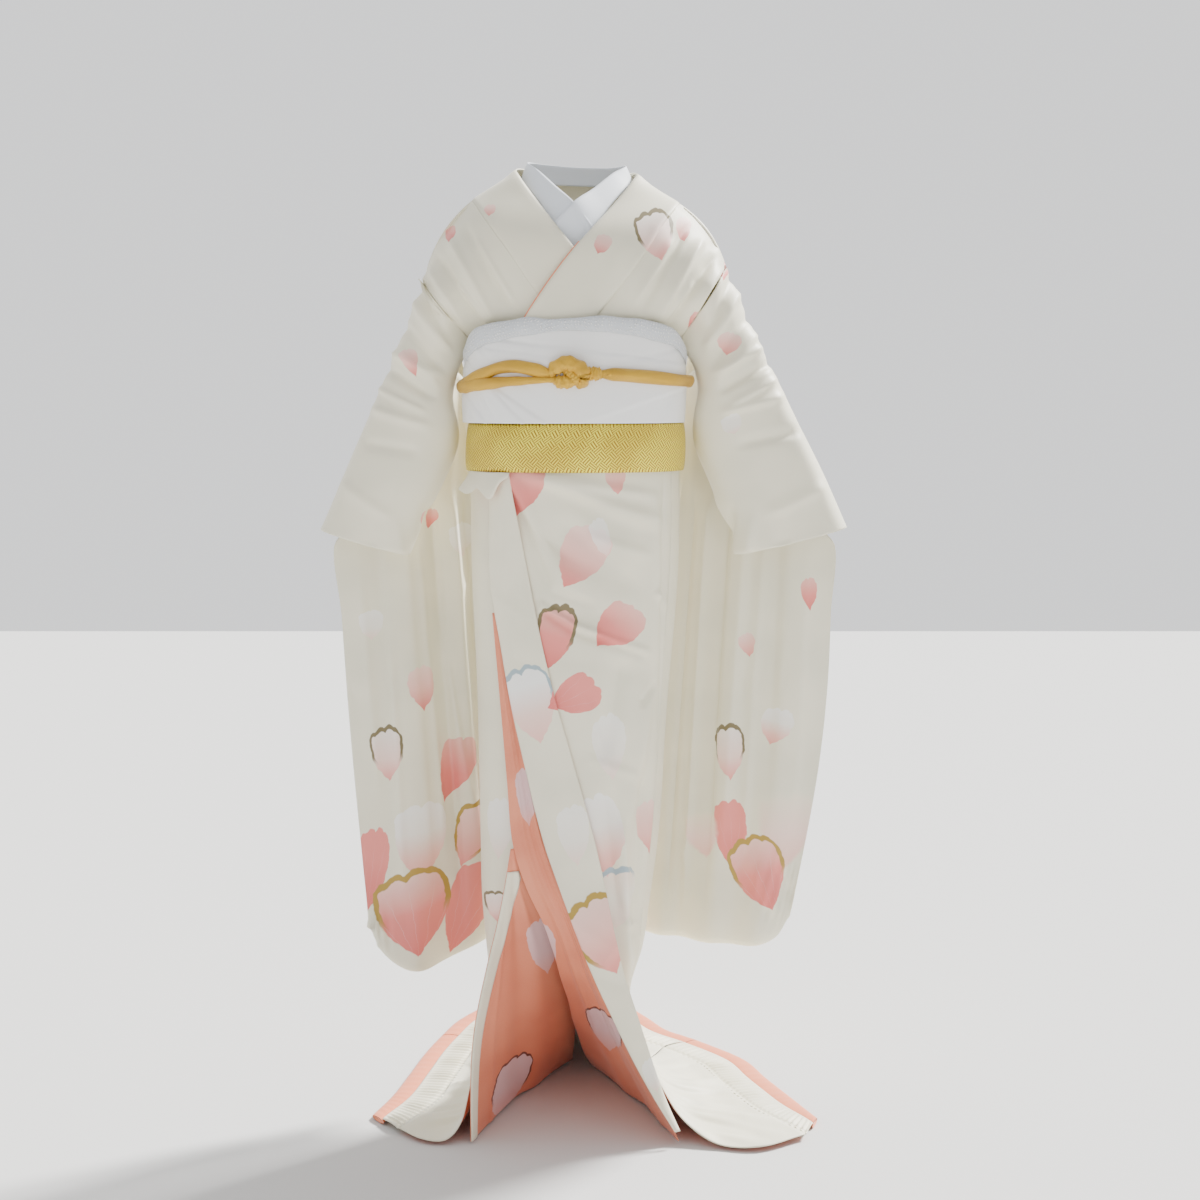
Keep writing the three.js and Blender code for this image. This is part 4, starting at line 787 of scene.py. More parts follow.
def shibori(name):
    """White tie-dyed silk with rows of small raised buds; the hollows between the buds carry painted shade, a
    grey-blue.
    """
    material, nodes, shader = new_material(name)
    uv = nodes.add("ShaderNodeUVMap", uv_map="grain").outputs[0]
    buds = nodes.add("ShaderNodeTexVoronoi", {"Vector": uv, "Scale": 210.0, "Randomness": 0.35}).outputs[0]
    raised = nodes.between(buds, 0.42, 0.1)
    # painted shade: grey-blue in the hollows between the buds, white on their tops
    colour = nodes.mix(raised, srgb(205, 209, 214), srgb(253, 253, 252))
    nodes.tree.links.new(colour, shader.inputs["Base Color"])
    bump = nodes.add("ShaderNodeBump", {"Height": raised, "Strength": 0.7, "Distance": 0.002})
    nodes.tree.links.new(bump.outputs[0], shader.inputs["Normal"])
    set_shader(shader, Roughness=0.6, Sheen_Weight=0.3, Specular_IOR_Level=0.3)
    return material


# Petals: x, height, width, length, turn, style. The same petal can lie on two pieces.
CHEST_PETALS = [
    (117, 1308, 54, 76, 18, "khaki"), (157, 1318, 22, 36, 8, "pink"), (41, 1292, 24, 30, -20, "pink"),
    (172, 1190, 19, 30, -30, "coral"),
]
SHOULDER_PETALS = [(-178, 1312, 17, 28, 10, "coral"), (-120, 1345, 16, 18, 0, "blush")]
SKIRT_PETALS = [
    (-72, 953, 62, 92, -8, "coral"), (60, 965, 30, 44, 10, "blush"), (12, 852, 68, 98, -24, "pink"),
    (62, 750, 62, 78, -42, "coral"), (-26, 738, 56, 98, -8, "khaki_coral"), (2, 651, 58, 74, -58, "deep"),
    # the petal at 62, 352 is painted shade: the band's gold-lined petal run on into the fold's shade
    (52, 577, 48, 98, 8, "faint"), (40, 446, 66, 128, 14, "pale"), (62, 352, 64, 96, 4, "gold_petal_in_painted_shade"),
    (111, 444, 30, 96, 6, "pink"), (40, 880, 26, 60, 20, "faint"),
]
BAND_PETALS = [
    (-60, 640, 74, 116, 20, "blue_gray"), (1, 450, 46, 92, 10, "faint"), (40, 304, 84, 122, 28, "gold_pink"),
    (-4, 651, 56, 74, -58, "deep"), (114, 100, 24, 52, 20, "faint"),
]
SLEEVE_RIGHT_PETALS = [
    (-232, 1128, 22, 40, 20, "pink"), (-216, 896, 17, 32, -10, "coral"), (-174, 862, 36, 56, 6, "faint"),
    (-303, 740, 36, 46, 6, "faint"), (-234, 642, 36, 70, 8, "pink"), (-281, 545, 48, 86, 8, "khaki"),
    (-186, 512, 48, 106, -14, "coral"), (-233, 408, 74, 122, 5, "pale"), (-306, 368, 48, 132, -4, "deep"),
    (-160, 410, 50, 110, -12, "gold_pink"), (-166, 296, 66, 150, -18, "deep"),
    (-243, 300, 112, 132, 14, "gold"),
]
SLEEVE_LEFT_PETALS = [
    (216, 1258, 15, 26, -10, "coral"), (223, 1155, 34, 34, -5, "blush"), (228, 1040, 30, 30, 25, "faint"),
    (349, 787, 24, 50, 8, "coral"), (261, 708, 24, 38, 16, "blush"), (235, 545, 46, 86, 8, "khaki"),
    (302, 586, 46, 60, -14, "pale"), (322, 430, 96, 130, 4, "bokashi"), (238, 417, 50, 112, 6, "deep"),
    (281, 362, 80, 116, 24, "gold"), (196, 412, 52, 78, 10, "bokashi"),
]
LINING_PETALS = [
    (-98, 35, 52, 98, -14, "mauve_line"), (-46, 262, 42, 104, 10, "mauve"),
    (46, 134, 52, 92, 14, "mauve_line"), (-68, 503, 30, 90, 6, "mauve"),
]
STRIP_PETALS = [(-108, 450, 38, 96, 0, "faint"), (-112, 332, 40, 50, 10, "khaki")] + SHOULDER_PETALS
BACK_PETALS = [
    (-62, 860, 58, 86, 14, "pink"), (70, 760, 52, 78, -18, "coral"), (-40, 640, 60, 96, 8, "khaki"),
    (58, 560, 48, 92, 12, "pale"), (-84, 470, 50, 88, -14, "deep"), (22, 400, 70, 120, 6, "gold"),
    (-30, 250, 62, 110, -10, "pale"), (48, 226, 56, 96, 16, "coral"), (-150, -40, 80, 130, 12, "gold_pink"),
    (60, -120, 80, 120, -12, "khaki"), (-60, 1240, 46, 66, 12, "pink"), (90, 1260, 40, 60, -16, "khaki"),
]

LINING = plain_cloth("coral_lining", CORAL_LINING)
WHITE_LINING = plain_cloth("white_lining", IVORY)
UNDER = plain_cloth("under_collar_silk", UNDER_WHITE, 0.6, 0.2, 0.2)
OBI_SILK = plain_cloth("white_sash_silk", WHITE, 0.38, 0.25, 0.15)
OBIAGE_SILK = shibori("tie_dyed_scarf")
GOLD = brocade("gold_brocade", GOLD_LIGHT, GOLD_DARK, 15)
CORD = brocade("gold_cord_cloth", CORD_LIGHT, CORD_DARK, 6)
PLAIN_SILK = silk("ivory_silk")
LINING_SPLIT = 0.78              # metres above the floor: white lining above, coral below


def robe_lining():
    """White lining in the upper robe and coral below; where it changes is a guess."""
    material, nodes, shader = new_material("robe_lining")
    crepe(nodes, shader, 0.3)
    uv = nodes.add("ShaderNodeUVMap", uv_map="print").outputs[0]
    height = nodes.add("ShaderNodeSeparateXYZ", {0: uv}).outputs[1]
    colour = nodes.mix(nodes.between(height, LINING_SPLIT - 0.001, LINING_SPLIT + 0.001), CORAL_LINING, IVORY)
    nodes.tree.links.new(colour, shader.inputs["Base Color"])
    set_shader(shader, Roughness=0.55, Sheen_Weight=0.2, Specular_IOR_Level=0.35)
    return material


ROBE_LINING = robe_lining()

# ---------------------------------------------------------------- robe pieces


def sleeve_pull(grid, sign):
    """Folds that run from the armhole down and in over the chest, and off the collar seam."""
    lines = [
        (208, 1258, 150, 1168, 4.6, 8), (196, 1276, 128, 1172, -4.2, 7), (178, 1300, 108, 1176, 3.8, 8),
        (214, 1240, 176, 1176, -4.2, 6), (156, 1318, 92, 1196, -2.8, 8), (218, 1252, 190, 1190, 4.0, 5),
        (168, 1240, 112, 1168, 2.6, 5), (140, 1300, 84, 1210, 2.0, 6), (190, 1210, 160, 1164, -2.8, 5),
    ]
    return CHEST_FOLD_DEPTH * sum(
        fold(grid, sign * a, b, sign * c, d, depth, half, 0.3) for a, b, c, d, depth, half in lines)


# How much deeper than their tables the folds are drawn.
SKIRT_FOLD_DEPTH, CHEST_FOLD_DEPTH, HEM_FOLD_DEPTH = 1.9, 1.9, 1.3
BAG_FOLD_DEPTH, ARM_FOLD_DEPTH, BAG_BACK_SHARE = 1.7, 1.6, 0.94
HEM_FADE_ROWS = 6                # rows over which a panel's folds die out at the hem's stitch line


def skirt_folds(grid):
    """Soft drag folds of the wrapped skirt front and the level crumple at mid thigh."""
    lines = [
        (-88, 972, 128, 896, 4.6, 13), (-84, 966, 40, 918, -3.6, 9), (-60, 968, 120, 936, 3.0, 8),
        (-88, 962, -8, 800, 4.2, 12), (-92, 948, -34, 800, -3.4, 9), (-20, 900, 96, 800, -2.6, 16),
        (20, 880, 110, 850, 2.2, 10), (-48, 786, -6, 757, 4.4, 4.5), (-6, 757, 40, 740, 4.0, 4.5),
        (-44, 774, 0, 745, -3.6, 5), (0, 745, 44, 730, -3.2, 5), (-30, 802, 30, 780, -2.4, 7),
        (37, 741, 110, 710, 2.6, 4), (40, 734, 104, 704, -1.8, 5), (116, 800, 132, 772, 3.2, 4.5),
        (124, 790, 130, 742, -2.4, 4), (115, 664, 92, 636, -2.6, 4), (112, 940, 118, 810, 2.0, 6),
        (104, 650, 84, 470, 3.2, 10), (64, 700, 40, 560, -2.6, 13), (20, 640, 56, 500, 2.4, 11),
        (96, 540, 84, 260, -4.0, 9), (66, 460, 76, 230, 4.4, 8), (40, 500, 62, 330, -2.4, 8),
        (106, 460, 94, 240, 2.6, 6), (20, 560, 96, 528, 1.8, 5), (54, 318, 96, 300, 2.4, 4),
    ]
    slit = [(127, 955, 121, 430, -4.2, 2.6), (120, 950, 113, 440, 1.8, 5)]
    return sum(fold(grid, *line, 0.25) for line in lines) * SKIRT_FOLD_DEPTH + sum(
        fold(grid, *line) for line in slit)


def hem_folds(grid, sign):
    """Drag folds of the train where it lies on the floor, seen from above."""
    on_floor = smooth((150 - grid[..., 2]) / 100)
    x, y = grid[..., 0] * sign, grid[..., 1]
    turn = np.arctan2(y + 40, x - 60)
    reach = np.hypot(x - 60, y + 40)
    waves = 3.4 * np.sin(turn * 8 + reach / 70) + 2.4 * np.sin(turn * 15 - reach / 50 + 1.3)
    waves = waves + 1.4 * np.sin(turn * 31 + reach / 40)
    return HEM_FOLD_DEPTH * on_floor * np.maximum(waves, -2.0) * smooth(reach / 160)


def make_panel(side, face, petals):
    outer_front = (side, face) == ("left", "front")
    columns, down, across = (12, 9, 10) if outer_front else (8, 6, 12)
    coarse = panel_rows(side, face, columns)
    flip = (side == "left") == (face == "front")
    grid = fine_grid(coarse, down, across)
    print_map = unrolled_print(grid)
    sign = SHOULDERS[side]["sign"]
    height = grid[..., 2]
    calm_edges = np.sin(np.pi * np.linspace(0, 1, grid.shape[1])) ** 0.35
    if outer_front:
        inner = smooth(np.linspace(4, 0, grid.shape[1]))
        grid[..., 1] += crease_depth(grid) * inner * (height < HIP)
    up = smooth((height - 1160) / 40)
    relief = ripple(grid, 260, 1.3, 3 + columns) * calm_edges
    if face == "front":
        relief = relief + sleeve_pull(grid, sign) * calm_edges * up
        if outer_front:
            relief = relief + skirt_folds(grid) * calm_edges * (1 - smooth((height - 960) / 20))
    else:
        folds = [(60, 1300, 150, 1180, 2.2, 14), (30, 1240, 120, 1172, -2.0, 12), (95, 900, 80, 260, 3.0, 24),
                 (45, 860, 40, 240, -2.4, 22)]
        relief = relief + calm_edges * sum(
            fold(grid, sign * a, b, sign * c, d, depth, half) for a, b, c, d, depth, half in folds)
    relief = relief + hem_folds(grid, sign) * calm_edges
    last = np.ones(len(grid))
    last[-HEM_FADE_ROWS:] = np.linspace(1, 0.1, HEM_FADE_ROWS)
    grid = pushed(grid, WALL + relief * last[:, None], flip=flip)
    grid[..., 2] = np.maximum(grid[..., 2], FLOOR_CLEAR + 2.5)
    ridge = np.gradient(grid[0], axis=0) * [1, 0, 1]
    ridge /= np.linalg.norm(ridge, axis=-1, keepdims=True)
    upward = np.stack([-ridge[:, 2], 0 * ridge[:, 0], ridge[:, 0]], -1) * sign
    grid[0] = finer(coarse[0], across) + upward * WALL
    grid[0, :, 1] = 0              # front and back meet on the shoulder fold
    name = f"{face}_{side}"
    cloth(name, grid, silk(f"silk_{name}", petals), flip=flip, lining=ROBE_LINING,
          print_map=print_map)


make_panel("left", "front", CHEST_PETALS + SKIRT_PETALS)
make_panel("right", "front", STRIP_PETALS)
make_panel("left", "back", [p for p in BACK_PETALS if p[0] > -30])
make_panel("right", "back", [p for p in BACK_PETALS if p[0] < 40])

# The band (okumi) over the outer skirt front.
BAND = table(
    "height free freeDepth fold foldDepth",
    (972, -122, -112, -92, -110), (925, -122, -112, -84, -110), (832, -123, -112, -66, -110),
    (733, -108, -112, -47, -110), (640, -92, -112, -25, -110), (540, -70, -112, 3, -110),
    (429, -42, -112, 32, -110), (326, -5, -116, 54, -112), (250, 24, -120, 71, -114),
    (185, 54, -124, 92, -119), (123, 84, -129, 112, -124), (63, 118, -138, 134, -131),
    (22, 145, -148, 153, -144))
BAND_LAST_STANDING = 429
BAND_HEIGHTS = [972, 930, 885, 832, 780, 733, 680, 630, 580, 530, 480, 429, 375, 326, 285, 250, 217, 185,
                154, 123, 92, 63, 40, 22]


def strip_depth(edge, x, height, offset):
    own = value(BAND, f"{edge}Depth", height)
    return lerp(skirt_front(x, max(height, ANKLE), offset), own, smooth((BAND_LAST_STANDING - height) / 110))


def band_rows(columns):
    rows = []
    for height in BAND_HEIGHTS:
        ends = []
        for edge in ("free", "fold"):
            x = value(BAND, edge, height)
            ends.append(point(x, strip_depth(edge, x, height, LAYER["band"]), height))
        row = []
        for t in steps(columns):
            place = lerp(ends[0], ends[1], t)
            on_skirt = skirt_front(place[0], max(height, ANKLE), LAYER["band"])
            standing = 1 - smooth((BAND_LAST_STANDING - height) / 110)
            place[1] = lerp(place[1], on_skirt, standing) - 2.2 * math.sin(math.pi * t)
            row.append(place)
        rows.append(row)
    return rows


def make_band():
    grid = fine_grid(band_rows(5), 6, 8)
    across = np.linspace(0, 1, grid.shape[1])
    rounded = 2.4 * (1 - np.abs(2 * across - 1) ** 5)
    lines = [
        (-122, 800, -60, 760, 1.6, 9), (-100, 712, -50, 690, -1.4, 8), (-20, 330, 60, 280, 2.2, 9),
        (10, 250, 76, 226, -2.0, 8), (60, 170, 96, 140, 1.6, 7), (-108, 930, -84, 700, 1.8, 9),
        (-60, 500, 20, 470, 1.2, 10), (40, 262, 72, 300, 1.8, 6),
    ]
    relief = sum(fold(grid, *line, 0.2) for line in lines) + ripple(grid, 180, 0.7, 11)
    grid = pushed(grid, rounded * 0.8 + relief, flip=True)
    cloth("okumi_left", grid, silk("silk_okumi_left", BAND_PETALS), flip=True,
          lining=LINING)


make_band()


def ruled_rows(outer_edge, inner_edge, rows, columns, bow):
    a, b = Curve(outer_edge), Curve(inner_edge)
    out = []
    for t in steps(rows):
        p, q = a.at(t), b.at(t)
        side = unit(point(q[1] - p[1], p[0] - q[0], 0))
        out.append([lerp(p, q, u) + side * bow * t * math.sin(math.pi * u) for u in steps(columns)])
    return np.array(out)


LINING_TUCK = 6
LINING_BEHIND = 6.4
LINING_LEFT_ROWS = 16
LINING_LEFT_HEIGHTS = [770, 673, 557, 429, 326, 250, 185, 123, 63, 6]
LINING_LEFT_INNER = [(-118, -80, 770), (-110, -84, 673), (-100, -89, 557), (-85, -97, 411), (-44, -80, 308),
                     (-23, -30, 225), (-10, 40, 155), (1, 110, 87), (15, 165, 32), (24, 203, 4)]


def lining_left_outer():
    edge = []
    for height in LINING_LEFT_HEIGHTS:
        x = value(BAND, "free", height) + LINING_TUCK
        edge.append((x, strip_depth("free", x, height, LAYER["band"]) + LINING_BEHIND, height))
    return edge


def bands_of_fold(grid, heights):
    """Long soft folds along a lining: a sum of ridges at shares of its width."""
    across = np.linspace(0, 1, grid.shape[1])[None, :]
    down = np.linspace(0, 1, grid.shape[0])[:, None]
    total = 0
    for share, drift, depth, half in heights:
        total = total + depth * np.exp(-(((across - share - drift * down) / half) ** 2)) * smooth(down * 3)
    return total


def make_linings():
    grid = fine_grid(ruled_rows(lining_left_outer(), LINING_LEFT_INNER, LINING_LEFT_ROWS, 5, 9), 8, 12)
    relief = bands_of_fold(grid, [(0.16, 0.04, 1.6, 0.035), (0.34, 0.08, -2.6, 0.06), (0.62, 0.0, 3.0, 0.08)])
    grid = pushed(grid, LINING_WALL + relief + ripple(grid, 160, 0.8, 21))
    cloth("lining_left", grid, silk("lining_silk_left", LINING_PETALS, CORAL_LINING, CORAL_SHADE))
    grid = fine_grid(ruled_rows(LAPEL_OUTER, LAPEL_INNER, LAPEL_ROWS, 8, -12), 8, 12)
    relief = bands_of_fold(grid, [(0.2, 0.03, 1.4, 0.03), (0.42, 0.1, -3.2, 0.09), (0.7, -0.05, 4.0, 0.1)])
    grid = pushed(grid, LINING_WALL + relief + ripple(grid, 150, 0.9, 22), flip=True)
    cloth("okumi_right", grid, silk("lining_silk_right", LINING_PETALS, CORAL_LINING, CORAL_SHADE),
          flip=True)
    return grid


LAPEL_OUTER = [(-93, -100, 428), (-103, -102, 370), (-112, -105, 323), (-127, -109, 262), (-140, -113, 203),
               (-148, -120, 148), (-152, -128, 93), (-153, -134, 45), (-152, -139, 4)]
LAPEL_INNER = [(-89, -97, 428), (-72, -84, 370), (-52, -60, 323), (-28, -8, 262), (-12, 46, 203),
               (-6, 92, 148), (-4, 140, 93), (-5, 186, 45), (-9, 227, 4)]
LAPEL_ROWS = 14
FACING_WIDTH, FACING_SKIPS = 25, 8    # the strip leaves out the lapel's first lines, at its point
lapel = make_linings()


def make_facing():
    """The outer cloth turned in along the lapel's free edge, as a flat narrow band."""
    rows = []
    for line in lapel[FACING_SKIPS:]:
        reach = arc(line[None], 1)[0]
        wide = min(0.9 * reach[-1], FACING_WIDTH)
        places = np.array([[np.interp(wide * u, reach, line[:, k]) for k in range(3)] for u in steps(8)])
        rows.append(places)
    grid = np.array(rows)
    across = np.linspace(0, 1, grid.shape[1])
    grid = pushed(grid, 0.4 + 1.4 * (1 - np.abs(2 * across - 1) ** 6), flip=True)
    cloth("facing_right", grid, PLAIN_SILK, flip=True, thick=0.8)


make_facing()

# ---------------------------------------------------------------- padded hem

HEM_ENDS = {"front": (0, SIDE_SEAM_SHARE - SEAM_SHARE), "back": (SIDE_SEAM_SHARE + SEAM_SHARE, 0.998)}
CASING_OVER_ROLL = 4
ROLL_THICK = 8
PUCKER_PITCH = 12
PUCKER_HEIGHT = 1.9
HEM_SAMPLES, GATHER_ROWS, ROLL_SIDES = 220, 22, 20


def make_hem(side, part):
    start, end = HEM_ENDS[part]
    shares = np.linspace(start, end, HEM_SAMPLES)
    lines = [np.array([hem_point(side, s, inward, 0) for s in shares]) for inward in (0, HEM_WIDTH)]
    run = arc(lines[1][None], 1)[0]
    dice = np.random.default_rng(len(side) * 7 + len(part))
    phase = 2 * math.pi * run / PUCKER_PITCH + 1.2 * np.sin(run / 31 + dice.uniform(0, 6))
    size = 0.7 + 0.5 * np.sin(run / 23 + dice.uniform(0, 6)) ** 2
    rows = []
    for u in np.linspace(0, 1, GATHER_ROWS):
        inward = lerp(HEM_WIDTH + 3, ROLL_WIDTH - CASING_OVER_ROLL, u)
        row = lerp(lines[0], lines[1], inward / HEM_WIDTH)
        stitch = math.exp(-(((u - 0.13) / 0.05) ** 2))
        swell = math.sin(math.pi * min(1, u * 0.9 + 0.1)) ** 0.8
        pucker = PUCKER_HEIGHT * swell * size * np.sin(phase + 0.8 * math.sin(3 * u))
        row[:, 2] = HEM_HEIGHT + 1.2 + pucker + 1.2 * swell - 1.4 * stitch
        rows.append(row)
    name = f"{part}_{side}"
    cloth(f"hem_gather_{name}", np.array(rows), PLAIN_SILK, flip=side == "left", thick=0.8)
    rings = []
    middle = ROLL_WIDTH / 2
    for k in range(HEM_SAMPLES):
        puff = 1 + 0.06 * math.sin(phase[k] * 0.5) + 0.05 * math.sin(run[k] / 17)
        ring = []
        for turn in np.linspace(0, 2 * math.pi, ROLL_SIDES, endpoint=False):
            inward = middle + (middle - 0.4) * math.cos(turn)
            place = lerp(lines[0][k], lines[1][k], inward / HEM_WIDTH)
            above = math.sin(turn)
            place[2] = FLOOR_CLEAR + ROLL_THICK / 2 * (1 + (puff * above if above > 0 else above))
            ring.append(place)
        rings.append(ring)
    roll = closed_tube(f"hem_roll_{name}_pad", np.array(rings), LINING)
    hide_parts(f"hem_roll_{name}")


def closed_tube(name, rings, material):
    """A capped tube through rings of points, its faces turned outwards."""
    count, sides = rings.shape[:2]
    faces = grid_faces(count, sides, loop=True, flip=True)
    caps = [list(range(sides)), [(count - 1) * sides + k for k in range(sides)][::-1]]
    faces += [cap[::-1] for cap in caps]
    middle = rings.mean(1)
    turn = np.cross(rings[0, 0] - middle[0], rings[0, 1] - middle[0])
    if np.dot(turn, middle[1] - middle[0]) < 0:
        faces = [face[::-1] for face in faces]
    length = arc(rings, 0)
    grain = np.stack([arc(np.concatenate([rings, rings[:, :1]], 1), 1)[:, :-1], length], -1)
    tube = new_object(name, rings, faces, material, [("print", grain * MM), ("grain", grain * MM)])
    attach(tube, "root")
    return tube


for hem_side in ("left", "right"):
    for hem_part in ("front", "back"):
        make_hem(hem_side, hem_part)

# ---------------------------------------------------------------- collar

COLLAR_LIFT, COLLAR_LIFT_FROM, COLLAR_LIFT_OVER = 7, 0.66, 0.18    # the half that lies on top
COLLAR_SAMPLES, COLLAR_COLUMNS, UNDER_SAMPLES, UNDER_COLUMNS = 180, 20, 120, 10
RIM_FROM, RIM_TO, RIM_SAMPLES, RIM_SIDES = 0.80, 0.985, 90, 8
UNDER_COLLAR = table(
    "ix iy iz ox oy oz",
    (40, -84, 1300, -6, -88, 1262), (3, -60, 1352, -26, -72, 1304), (-26, -28, 1380, -48, -38, 1352),
    (-52, 12, 1406, -72, 8, 1384), (-68, 42, 1420, -78, 44, 1392), (-46, 68, 1420, -51, 72, 1392),
    (2, 78, 1417, 2, 82, 1390), (52, 67, 1415, 57, 71, 1388), (74, 42, 1415, 84, 44, 1387),
    (56, 12, 1402, 76, 8, 1380), (27, -28, 1376, 48, -38, 1346), (-2, -62, 1354, 24, -74, 1302),
    (-28, -68, 1325, 6, -82, 1262))


def collar_rows(neck, seam, samples, columns, bow, reach=1.0):
    rows = []
    for t in steps(samples):
        a, b = neck.at(t), seam.at(t)
        out = unit(point((a[0] + b[0]) * 0.3, (a[1] + b[1]) / 2, 20))
        rows.append([lerp(a, b, u * reach) + out * bow * math.sin(math.pi * u) for u in steps(columns)])
    return np.array(rows)


def make_collars():
    grid = collar_rows(neck_line, seam_line, COLLAR_SAMPLES, COLLAR_COLUMNS, 3, 1.03)
    t = np.linspace(0, 1, len(grid))
    grid[..., 1] -= (COLLAR_LIFT * smooth((t - COLLAR_LIFT_FROM) / COLLAR_LIFT_OVER))[:, None]
    u = np.linspace(0, 1, grid.shape[1])
    edge = 1.5 * np.exp(-((u / 0.05) ** 2)) + 2.4 * np.exp(-(((1 - u) / 0.04) ** 2))
    lines = [(-120, 1300, -60, 1220, 1.2, 9), (110, 1316, 60, 1230, -1.2, 8), (70, 1290, 20, 1200, 1.2, 9)]
    relief = 2.2 - edge[None, :] + sum(fold(grid, *line) for line in lines)
    grid = pushed(grid, relief + ripple(grid, 140, 0.35, 31), flip=True)
    cloth("collar", grid, silk("silk_collar", CHEST_PETALS + SHOULDER_PETALS), flip=True, thick=1.8,
          lining=WHITE_LINING)
    under = collar_rows(edge_curve(UNDER_COLLAR, ("ix", "iy", "iz")),
                        edge_curve(UNDER_COLLAR, ("ox", "oy", "oz")), UNDER_SAMPLES, UNDER_COLUMNS, 1.5)
    share = np.linspace(0, 1, len(under))
    under[..., 1] += (1.4 + 4.2 * smooth((0.34 - share) / 0.2))[:, None]
    under = pushed(under, 1.4, flip=True)
    cloth("under_collar", under, UNDER, flip=True, thick=1.2)


make_collars()


def make_collar_rim():
    """The coral lining peeps out along the lower neck edge of the collar half on top."""
    rings = []
    for t in np.linspace(RIM_FROM, RIM_TO, RIM_SAMPLES):
        centre = neck_line.at(t)
        centre[1] -= COLLAR_LIFT * smooth((t - COLLAR_LIFT_FROM) / COLLAR_LIFT_OVER) - 0.2
        inward = unit(neck_line.at(t) - seam_line.at(t))
        ring = []
        for turn in np.linspace(0, 2 * math.pi, RIM_SIDES, endpoint=False):
            ring.append(centre + inward * (0.8 + 1.3 * math.cos(turn)) + point(0, 0.9 * math.sin(turn), 0))
        rings.append(ring)
    rim = closed_tube("collar_rim", np.array(rings), LINING)


make_collar_rim()

# ---------------------------------------------------------------- sleeves

SLEEVE_COLUMNS = "share rx rz fx fz hx hz bx bz"
SLEEVES = {
    "right": dict(sign=-1, bow=4, waves=2.6, phase=0.4, petals=SLEEVE_RIGHT_PETALS, rows=table(
        SLEEVE_COLUMNS,
        (0, -219, 1242, -146, 1158, -168, 1092, -98, 262),
        (0.1, -234, 1204, -175, 1124, -174, 1079, -120, 254),
        (0.25, -256, 1148, -178, 1085, -186, 1060, -152, 241),
        (0.5, -289, 1072, -170, 1016, -234, 1004, -203, 220),
        (0.75, -329, 976, -203, 936, -294, 934, -252, 216),
        (0.9, -354, 920, -228, 884, -331, 892, -290, 244),
        (1, -370, 887, -245, 851, -352, 868, -311, 292))),
    "left": dict(sign=1, bow=20, waves=3.1, phase=1.9, petals=SLEEVE_LEFT_PETALS, rows=table(
        SLEEVE_COLUMNS,
        (0, 219, 1266, 150, 1158, 169, 1096, 98, 256),
        (0.1, 236, 1225, 182, 1128, 177, 1086, 119, 255),
        (0.25, 262, 1165, 183, 1098, 190, 1070, 150, 254),
        (0.5, 303, 1085, 174, 1022, 246, 1010, 206, 252),
        (0.75, 352, 985, 202, 944, 314, 938, 264, 253),
        (0.9, 379, 927, 221, 888, 356, 894, 303, 266),
        (1, 396, 890, 235, 851, 379, 870, 322, 298))),
}
BAG_DEPTH_AT_BODY, BAG_DEPTH_AT_WRIST = 112, 26
BAG_GAP_HOLLOW, BAG_GAP_SEWN = 16, 4.6
BAG_WAVE = 8
ARM_FRONT, ARM_BACK, CENTRE_AT_WRIST = 50, 46, -8
SEAM_SHIFT, SEAM_SHIFT_WAY = 2.4, (0.77, 0, -0.64)    # out and down, along the sleeve
SEAM_TUCK = 9                    # seam allowance that runs on under the body panels
RING_ANGLES = [0, 30, 60, 90, 120, 150, 180, 210, 240, 265]


